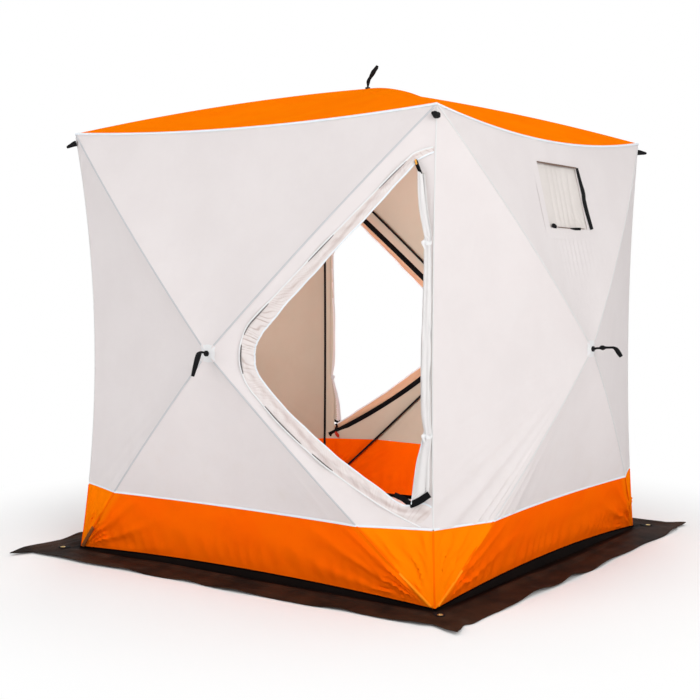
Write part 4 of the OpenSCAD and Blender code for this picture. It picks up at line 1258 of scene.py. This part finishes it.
def rod_seams(i, wall):
    """Tapes over the rods on the white cloth and on the band, and the pockets of the rods' feet."""
    tapes = [rod_seam(i, side, top, 0.035, last, 0.008, 0.0035)
             for top, last in ((1, 0.996), (-1, BAND_AT)) for side in (-1, 1)]
    # Front and back walls take the darker seam tape as painted shade; the side walls take the paler, lit copy
    trim(wall + "_rod_seams", join(*tapes), seam_tape if i in (FRONT, BACK) else seam_pale, "white_fabric")
    tapes = [rod_seam(i, side, -1, BAND_AT, 0.985, 0.009, 0.004) for side in (-1, 1)]
    trim(wall + "_band_rod_seams", join(*tapes), orange_tape, "orange_fabric")
    for side, end, corner in ((-1, "left", i), (1, "right", (i + 1) % 4)):
        lift, shift, width, height, first = ROD_POCKETS[corner]
        line = seam_path(i, wall_corner(side, -1), first, 0.985, 24) + np.array([-side * shift, -lift, 0.0])
        # The front-left corner's pocket takes the dark brown copy as painted shade; the others take the lit
        # light orange
        trim(wall + "_rod_pocket_" + end, wall_strip(i, line, width, height),
             pocket_tape if corner == 0 else light_orange_tape, "orange_fabric")


def piping(i, wall):
    """White piping along the roof's edge and along the band's top edge, which it overruns a little."""
    roof_edge = eave(i, np.linspace(0, 1, 90)) + [0, -0.0006, 0.0006]
    band_edge = band_fan(i)[0][:, 0] + OUT * 0.0008
    ends = 0.004 * unit(band_edge[[0, -1]] - band_edge[[3, -4]])
    band_edge = np.concatenate([band_edge[:1] + ends[:1], band_edge, band_edge[-1:] + ends[1:]])
    lines = join(wall_strip(i, roof_edge, 0.011, 0.0055, np.array([0, -0.8, 0.6])),
                 wall_strip(i, band_edge, 0.009, 0.0045))
    trim(wall + "_piping", lines, piping_tape, "white_fabric")


# Strips along a wall's left corner: name, first and last share of its height, count of points,
# shift inwards, width, height, 1 to face out or -1 to face in, material and slot
CORNER_STRIPS = (
    ("_left_corner_seam", BAND_H / EAVE_H, 0.992, 80, 0.0, 0.006, 0.004, 1, seam_pale, "white_fabric"),
    ("_left_corner_band_seam", 0.004, 0.965 * BAND_H / EAVE_H, 24, 0.0, 0.007, 0.005, 1, orange_tape,
     "orange_fabric"),
    ("_left_corner_binding", 0.034, 0.98, 80, 0.0075, 0.013, 0.003, -1, black_webbing, "black_webbing"),
)

for i, wall in enumerate(WALL_NAMES):
    rod_seams(i, wall)
    piping(i, wall)
    for name, first, last, count, shift, width, height, facing, tone, slot in CORNER_STRIPS:
        line = seam(i, -1, np.linspace(first, last, count)) - DIAGONAL * shift
        trim(wall + name, wall_strip(i, line, width, height, facing * DIAGONAL), tone, slot)


def hub_patch(i, count=96, rows=7):
    """Reinforcing patch over a hub: a disc on the cloth with a lobe along each rod seam."""
    a = round_angles(count)
    radius = 0.034 + 0.020 * np.maximum(np.cos(4 * (a - math.pi / 4)), 0) ** 2
    r = mix(BOLT_HOLE + 0.001, radius[:, None], np.linspace(0, 1, rows)[None, :])
    x, dz = r * np.cos(a)[:, None], r * np.sin(a)[:, None]
    depth = np.maximum(np.abs(x) / HALF, np.abs(dz) / HUB_Z) * BULGES[i]
    y = hub(i)[1] + depth - 0.0016
    edge = np.linspace(0, 1, rows)[None, :] ** 4
    return stack(x, y + 0.001 * edge, HUB_Z + dz), stack(x, y + 0.0022, HUB_Z + dz), stack(x, dz)


for i, wall in enumerate(WALL_NAMES):
    wall_patch(i, wall + "_hub_patch", hub_patch(i), patch_tape)


# Webbing, zip ends, eyelets and the frame's own finishes


def webbing(knots, across, name, nodes=(), material=None, count=60):
    """Webbing along knots of (x, y, z, width, thickness), kept flat square to a given across way."""
    line = smooth_line(knots, count)
    path, width, thick = line[:, :3], line[:, 3], line[:, 4]
    along = unit(np.gradient(path, axis=0))
    profile = oval(width, thick, 16, 3.0)
    solid = tube(sweep(path, np.cross(across, along), profile))
    uv = stack(run_length(path)[:, None], profile[..., 0]).reshape(-1, 2)
    thing = trim(name, solid, material or black_webbing, "black_webbing", nodes, uv)


# Pull straps as (out, up, width, thickness) from the knob's face, in millimetres
STRAP_HANGING = [[0, 0, 11, 8], [14, 5, 10, 8], [28, 6, 12, 9], [38, 1, 22, 11], [44, -14, 24, 11],
                 [52, -44, 21, 10], [58, -68, 17, 9], [62, -84, 13, 8]]
STRAP_DRAPED = [[0, 0, 10, 5], [9, 2, 10, 4], [15, -12, 13, 5], [17, -32, 20, 6], [17, -55, 19, 6],
                [16, -85, 15, 7]]
STRAP_LEVEL = [[0, 0, 11, 10], [12, 3, 10, 9], [24, 4, 10, 9], [33, 6, 20, 18], [41, 6, 20, 18],
               [50, 7, 12, 10], [70, 8, 11, 9], [84, 8, 13, 10], [95, 2, 19, 15], [106, -12, 21, 16],
               [116, -26, 18, 13]]
STRAP_UPRIGHT = [[0, 0, 10, 8], [10, 1, 12, 11], [22, 2, 18, 16], [32, 5, 17, 15], [42, 11, 15, 14],
                 [54, 18, 21, 18], [66, 25, 24, 20], [76, 32, 21, 17], [84, 38, 20, 16], [94, 43, 13, 11]]
ROOF_STRAP_TURN = math.radians(-60)
KNOB = 0.0059


def strap_knots(path, place):
    """Strap's (out, up, width, thickness) rows in millimetres as (x, y, z, width, thickness) rows."""
    rows = np.array(path) / 1000.0
    return np.concatenate([place(rows[:, 0] + KNOB, rows[:, 1]), rows[:, 2:]], axis=1)


def beside_hub(i, swing):
    turn = math.radians(swing)
    return lambda out, up: on_wall(i, hub(i) + stack(up * -math.sin(turn), -out, up * math.cos(turn)))


def over_roof(out, up):
    return ROOF_HUB + stack(up * -math.sin(ROOF_STRAP_TURN), up * math.cos(ROOF_STRAP_TURN), out)


for i, path, swing, length in ((FRONT, STRAP_HANGING, -8, 0.13), (RIGHT, STRAP_LEVEL, 0, 0.14),
                               (BACK, STRAP_DRAPED, 0, 0.11), (LEFT, STRAP_LEVEL, 0, 0.14)):
    turn = math.radians(swing)
    across = on_wall(i, np.array([math.cos(turn), 0.0, math.sin(turn)]))
    webbing(strap_knots(path, beside_hub(i, swing)), across, WALL_NAMES[i] + "_pull_strap",
            ["pull_straps"])
webbing(strap_knots(STRAP_UPRIGHT, over_roof),
        np.array([math.cos(ROOF_STRAP_TURN), math.sin(ROOF_STRAP_TURN), 0.0]),
        "roof_pull_strap", ["pull_straps"])

# Lugs under the roof's corners: droop and lean of their ends in metres, and size
CORNER_NAMES = ("front_left", "front_right", "back_right", "back_left")
LUG_DROPS = (0.019, -0.006, 0.004, 0.014)
LUG_LEANS = (0.0, -0.023, 0.0, 0.0)
LUG_SIZES = (1.0, 0.88, 1.0, 1.0)


def corner_lug(i, corner):
    """Webbing lug under a roof corner: broad at its root, rounded and drooping at its end."""
    z = EAVE_H - 0.040
    x = seam_x(CORNER_BOWS[i], z)
    reach = np.array([0.002, 0.012, 0.024, 0.036, 0.043])
    bend = np.array([0.0, 0.16, 0.47, 0.79, 1.0])[:, None]
    droop = LUG_LEANS[i] * ALONG_CORNER - LUG_DROPS[i] * UP
    path = np.array([-x, -x, z]) + reach[:, None] * DIAGONAL + bend * droop
    size = LUG_SIZES[i] * np.array([[30, 24], [31, 22], [27, 17], [24, 13], [16, 8]]) / 1000
    webbing(np.concatenate([on_wall(i, path), size], axis=1), on_wall(i, ALONG_CORNER),
            corner + "_corner_lug",
            ["top_corner_tabs"])


def peg_tab(i, corner):
    """Webbing tab on the skirt's corner with a hole for its eyelet: rows out from the hole."""
    a = round_angles(96)
    around = stack(np.cos(a), np.sin(a))
    straight = stack(np.clip(-np.cos(a) * 3, 0, 1) * -0.032, 0.0)
    sides = stack(0.0, np.sign(np.sin(a)) * 0.018 * np.minimum(np.abs(np.sin(a)) * 1.9, 1))
    edge = np.where(np.cos(a)[:, None] < 0, sides, 0.018 * around)
    flat = ring_between(0.0085 * around, edge + straight, 8)
    along, side = flat[..., :1] + EYELET_FROM, flat[..., 1:]
    low = np.array([-HALF, -HALF, 0.0035]) + along * DIAGONAL + side * ALONG_CORNER
    ripple = 0.0006 * (1 + np.sin(along / 0.006)) * np.linspace(0, 1, 8)[None, :, None]
    wall_cloth(i, corner + "_peg_tab", (low + UP * (0.0024 + ripple), low, flat),
               [black_webbing, black_webbing], "black_webbing", "peg_tabs", (0.070, 0.036), "laid",
               [WALL_NAMES[i] + "_snow_skirt_cloth"], ring=True)


def eyelet(i, corner):
    """Pressed brass eyelet: an arched rim over the tab and a short barrel down through it."""
    a = round_angles(48)
    profile = np.array([[6.0, 0.4], [6.0, 6.6], [6.5, 7.4], [7.6, 7.7], [9.2, 7.3], [10.6, 6.5], [11.3, 5.8],
                        [11.2, 5.3], [8.6, 5.6], [7.0, 5.2], [6.6, 4.0], [6.6, 0.4]]) / 1000
    radius, height = profile.T
    at = np.array([-HALF, -HALF, 0.0]) + EYELET_FROM * DIAGONAL
    rings = at + stack(np.cos(a)[:, None] * radius, np.sin(a)[:, None] * radius, height)
    points = on_wall(i, rings).reshape(-1, 3)
    faces = facing_out(points, grid_faces(*rings.shape[:2], True, True))
    trim(corner + "_peg_eyelet", (points, faces), eyelet_brass, "black_webbing", ["peg_tabs"])


for i, corner in enumerate(CORNER_NAMES):
    corner_lug(i, corner)
    peg_tab(i, corner)
    eyelet(i, corner)


def face_point(i, x, z, out):
    return stack(x, side_face(i, np.asarray(x), np.asarray(z))[0] - out, z)


def loose_tape(i, name, rows, across):
    """Free end of a zip tape on wall i, through rows as FOOT_TAPE has them."""
    points = on_wall(i, face_point(i, *rows[:, :3].T))
    knots = np.concatenate([points, rows[:, 3:] / 1000], axis=1)
    webbing(knots, on_wall(i, across), name, material=zip_tape)


# Loose zip tape at the bundle's foot and top: x, z and distance out from the wall in metres, width
# and thickness in millimetres
FOOT_TAPE = np.array([[0.734, 0.402, -0.010, 20, 2.2], [0.765, 0.390, -0.008, 22, 2.2],
                      [0.798, 0.374, 0.004, 24, 2.4], [0.816, 0.378, 0.022, 25, 2.6],
                      [0.846, 0.394, 0.028, 25, 2.6], [0.874, 0.416, 0.022, 24, 2.6]])
TOP_TAPE = np.array([[0.822, 1.598, 0.004, 12, 2.2], [0.828, 1.586, 0.010, 14, 2.4],
                     [0.838, 1.568, 0.018, 14, 2.4], [0.846, 1.548, 0.020, 12, 2.4]])
# Each door's first row of the foot tape, the tape's flat length and its slider's place on the line
ZIP_FEET = {FRONT: (0, 0.17, 950), BACK: (2, 0.10, 934)}
TOP_SLIDER = 14
ZIP_DEPTH = 0.0105
# Widths along a slider and along the pulls, and the cord's x, z and depth, all in metres
SLIDER_WIDTHS = (0.008, 0.011, 0.012, 0.011, 0.011, 0.012, 0.009)
PULL_WIDTHS = (0.009, 0.014, 0.018, 0.020, 0.021, 0.022, 0.022, 0.019, 0.012)
TOP_PULL_WIDTHS = (0.004, 0.007, 0.008, 0.008, 0.007, 0.007, 0.008, 0.008, 0.005)
PULL_CORD = [[0.0, 0.0, 0.0], [0.004, 0.014, 0.004], [-0.004, 0.028, 0.006], [0.002, 0.040, 0.004]]


def zip_ends(i, wall):
    """Loose ends of a door's zip: tape out of the bundle's foot and top, sliders, pulls and a cord."""
    first, foot_length, foot_slider = ZIP_FEET[i]
    loose_tape(i, wall + "_zip_foot_tape", FOOT_TAPE[first:], UP)
    loose_tape(i, wall + "_zip_top_tape", TOP_TAPE, SIDEWAYS)
    line = door_edge(i, 960)[0]
    sliders = []
    for k in (foot_slider, TOP_SLIDER):
        (x, z), ahead = line[k], unit(line[min(k + 6, 959)] - line[k - 6])
        run = np.linspace(-0.009, 0.009, 7)
        path = face_point(i, x + run * ahead[0], z + run * ahead[1], -ZIP_DEPTH)
        sliders.append(wall_tube(i, path, oval(SLIDER_WIDTHS, 0.007, 12, 3.0), -OUT))
    trim(wall + "_zip_sliders", join(*sliders), black_plastic, "black_plastic")
    x, z = line[foot_slider]
    drop = np.linspace(0, 1, 9)
    path = face_point(i, x + 0.004 * np.sin(6 * drop), z - 0.004 - 0.032 * drop, -ZIP_DEPTH - 0.004)
    pull = wall_tube(i, path, oval(PULL_WIDTHS, 0.0028, 12, 3.0), -OUT)
    trim(wall + "_zip_pull", pull, red_pull, "black_plastic")
    path = face_point(i, mix(0.826, 0.832, drop), mix(1.600, 1.582, drop), mix(0.014, 0.020, drop))
    pull = wall_tube(i, path, oval(TOP_PULL_WIDTHS, 0.004, 12, 3.0))
    trim(wall + "_zip_top_pull", pull, orange_pull, "black_plastic")
    x, z = line[foot_slider + 2]
    loop = smooth_line(PULL_CORD, 40)
    path = face_point(i, x + loop[:, 0] - 0.004, z + loop[:, 1], -0.012 - loop[:, 2])
    cord = wall_strip(i, path, 0.0140, 0.0100, SIDEWAYS)
    trim(wall + "_zip_pull_cord", cord, black_webbing, "black_webbing")


for i, wall in DOOR_WALLS:
    zip_ends(i, wall)

for name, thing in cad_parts.items():
    thing.data.materials.clear()
    thing.data.materials.append(rod_fibreglass if name.endswith("_rods") else black_plastic)


# Camera, light and floor

# Camera fitted to the photo: place in metres, turn in degrees, focal length and width in its pixels
CAMERA_PLACE = (3.2299, -4.7714, 1.2288)
CAMERA_AZIMUTH, CAMERA_ELEVATION = 34.879, 3.768
FOCAL_PIXELS, WIDTH_PIXELS = 850.86, 464.0
SENSOR_WIDTH = 36.0

camera_data = bpy.data.cameras.new("camera")
camera_data.sensor_width = SENSOR_WIDTH
camera_data.lens = SENSOR_WIDTH * FOCAL_PIXELS / WIDTH_PIXELS
camera = bpy.data.objects.new("camera", camera_data)
bpy.context.scene.collection.objects.link(camera)
azimuth, elevation = math.radians(CAMERA_AZIMUTH), math.radians(CAMERA_ELEVATION)
level = math.cos(elevation)
back = Vector((math.sin(azimuth) * level, -math.cos(azimuth) * level, math.sin(elevation)))
right = Vector((0, 0, 1)).cross(back).normalized()
camera.matrix_world = Matrix.Translation(CAMERA_PLACE) @ Matrix(
    (right, back.cross(right), back)).transposed().to_4x4()
bpy.context.scene.camera = camera


def area_light(name, place, aim, size, power, color=(1.0, 1.0, 1.0)):
    data = bpy.data.lights.new(name, "AREA")
    data.shape = "DISK"
    data.size = size
    data.energy = power
    data.color = color
    lamp = bpy.data.objects.new(name, data)
    lamp.matrix_world = Matrix.Translation(place) @ (
        Vector(place) - Vector(aim)).to_track_quat("Z", "Y").to_matrix().to_4x4()
    lamp.visible_camera = False
    bpy.context.scene.collection.objects.link(lamp)


area_light("key", (6.5, -3.8, 3.2), (0, 0, 0.8), 5.0, 262, (1.0, 0.990, 0.975))
area_light("fill", (-3.0, -7.0, 3.6), (0, 0, 0.8), 6.0, 104)
area_light("rear", (-3.0, 6.0, 5.5), (0, 0, 1.0), 5.0, 150)
area_light("top", (1.0, -1.0, 7.0), (0, 0, 1.0), 4.0, 75)
area_light("low", (5.0, -5.5, 0.4), (0.3, -0.3, 0.2), 2.5, 44)
area_light("low_left", (-2.6, -5.2, 0.35), (-0.6, -0.9, 0.12), 2.0, 38)
area_light("through_cloth", (-0.25, -0.35, 1.1), (0.5, 0.9, 1.0), 0.7, 21)


def seen_directly(tree):
    """1 for rays from the camera, off a gloss or through a clear surface, and 0 for lighting rays."""
    rays = tree.nodes.new("ShaderNodeLightPath").outputs
    seen = math_node(tree, "MAXIMUM", rays["Is Camera Ray"], rays["Is Glossy Ray"])
    return math_node(tree, "MAXIMUM", seen, rays["Is Transmission Ray"])


world = bpy.data.worlds.new("studio")
bpy.context.scene.world = world
world.use_nodes = True
tree = node_tree(world)
strength = add_node(tree, "MapRange", Value=seen_directly(tree), To_Min=0.54, To_Max=1.0)
background = add_node(tree, "Background", Color=(1.0, 1.0, 1.0, 1.0), Strength=strength.outputs[0])
add_node(tree, "OutputWorld", Surface=background.outputs[0])

# Pale floor that keeps the hut's shadow and turns into the white background further out
FLOOR_HALF, FLOOR_Z = 60.0, -0.002
floor_points = stack(*(FLOOR_HALF * np.array([[-1, 1, 1, -1], [-1, -1, 1, 1]])), FLOOR_Z)
floor_material = bpy.data.materials.new("floor")
floor_material.use_nodes = True
tree = node_tree(floor_material)
diffuse = add_node(tree, "BsdfDiffuse", Color=(0.93, 0.93, 0.93, 1.0))
glow = tree.nodes.new("ShaderNodeEmission")
far = tree.nodes.new("ShaderNodeVectorMath")
far.operation = "LENGTH"
feed(tree, far.inputs[0], tree.nodes.new("ShaderNodeTexCoord").outputs["Object"])
far_out = ramp(tree, far.outputs["Value"], 1.35, 2.4)
blend = add_node(tree, "MixShader", Fac=times(tree, seen_directly(tree), far_out))
feed(tree, blend.inputs[1], diffuse.outputs[0])
feed(tree, blend.inputs[2], glow.outputs[0])
add_node(tree, "OutputMaterial", Surface=blend.outputs[0])
floor = make_object("floor", floor_points, np.array([[0, 1, 2, 3]]), [floor_material])

bpy.context.scene.view_settings.view_transform = "Standard"
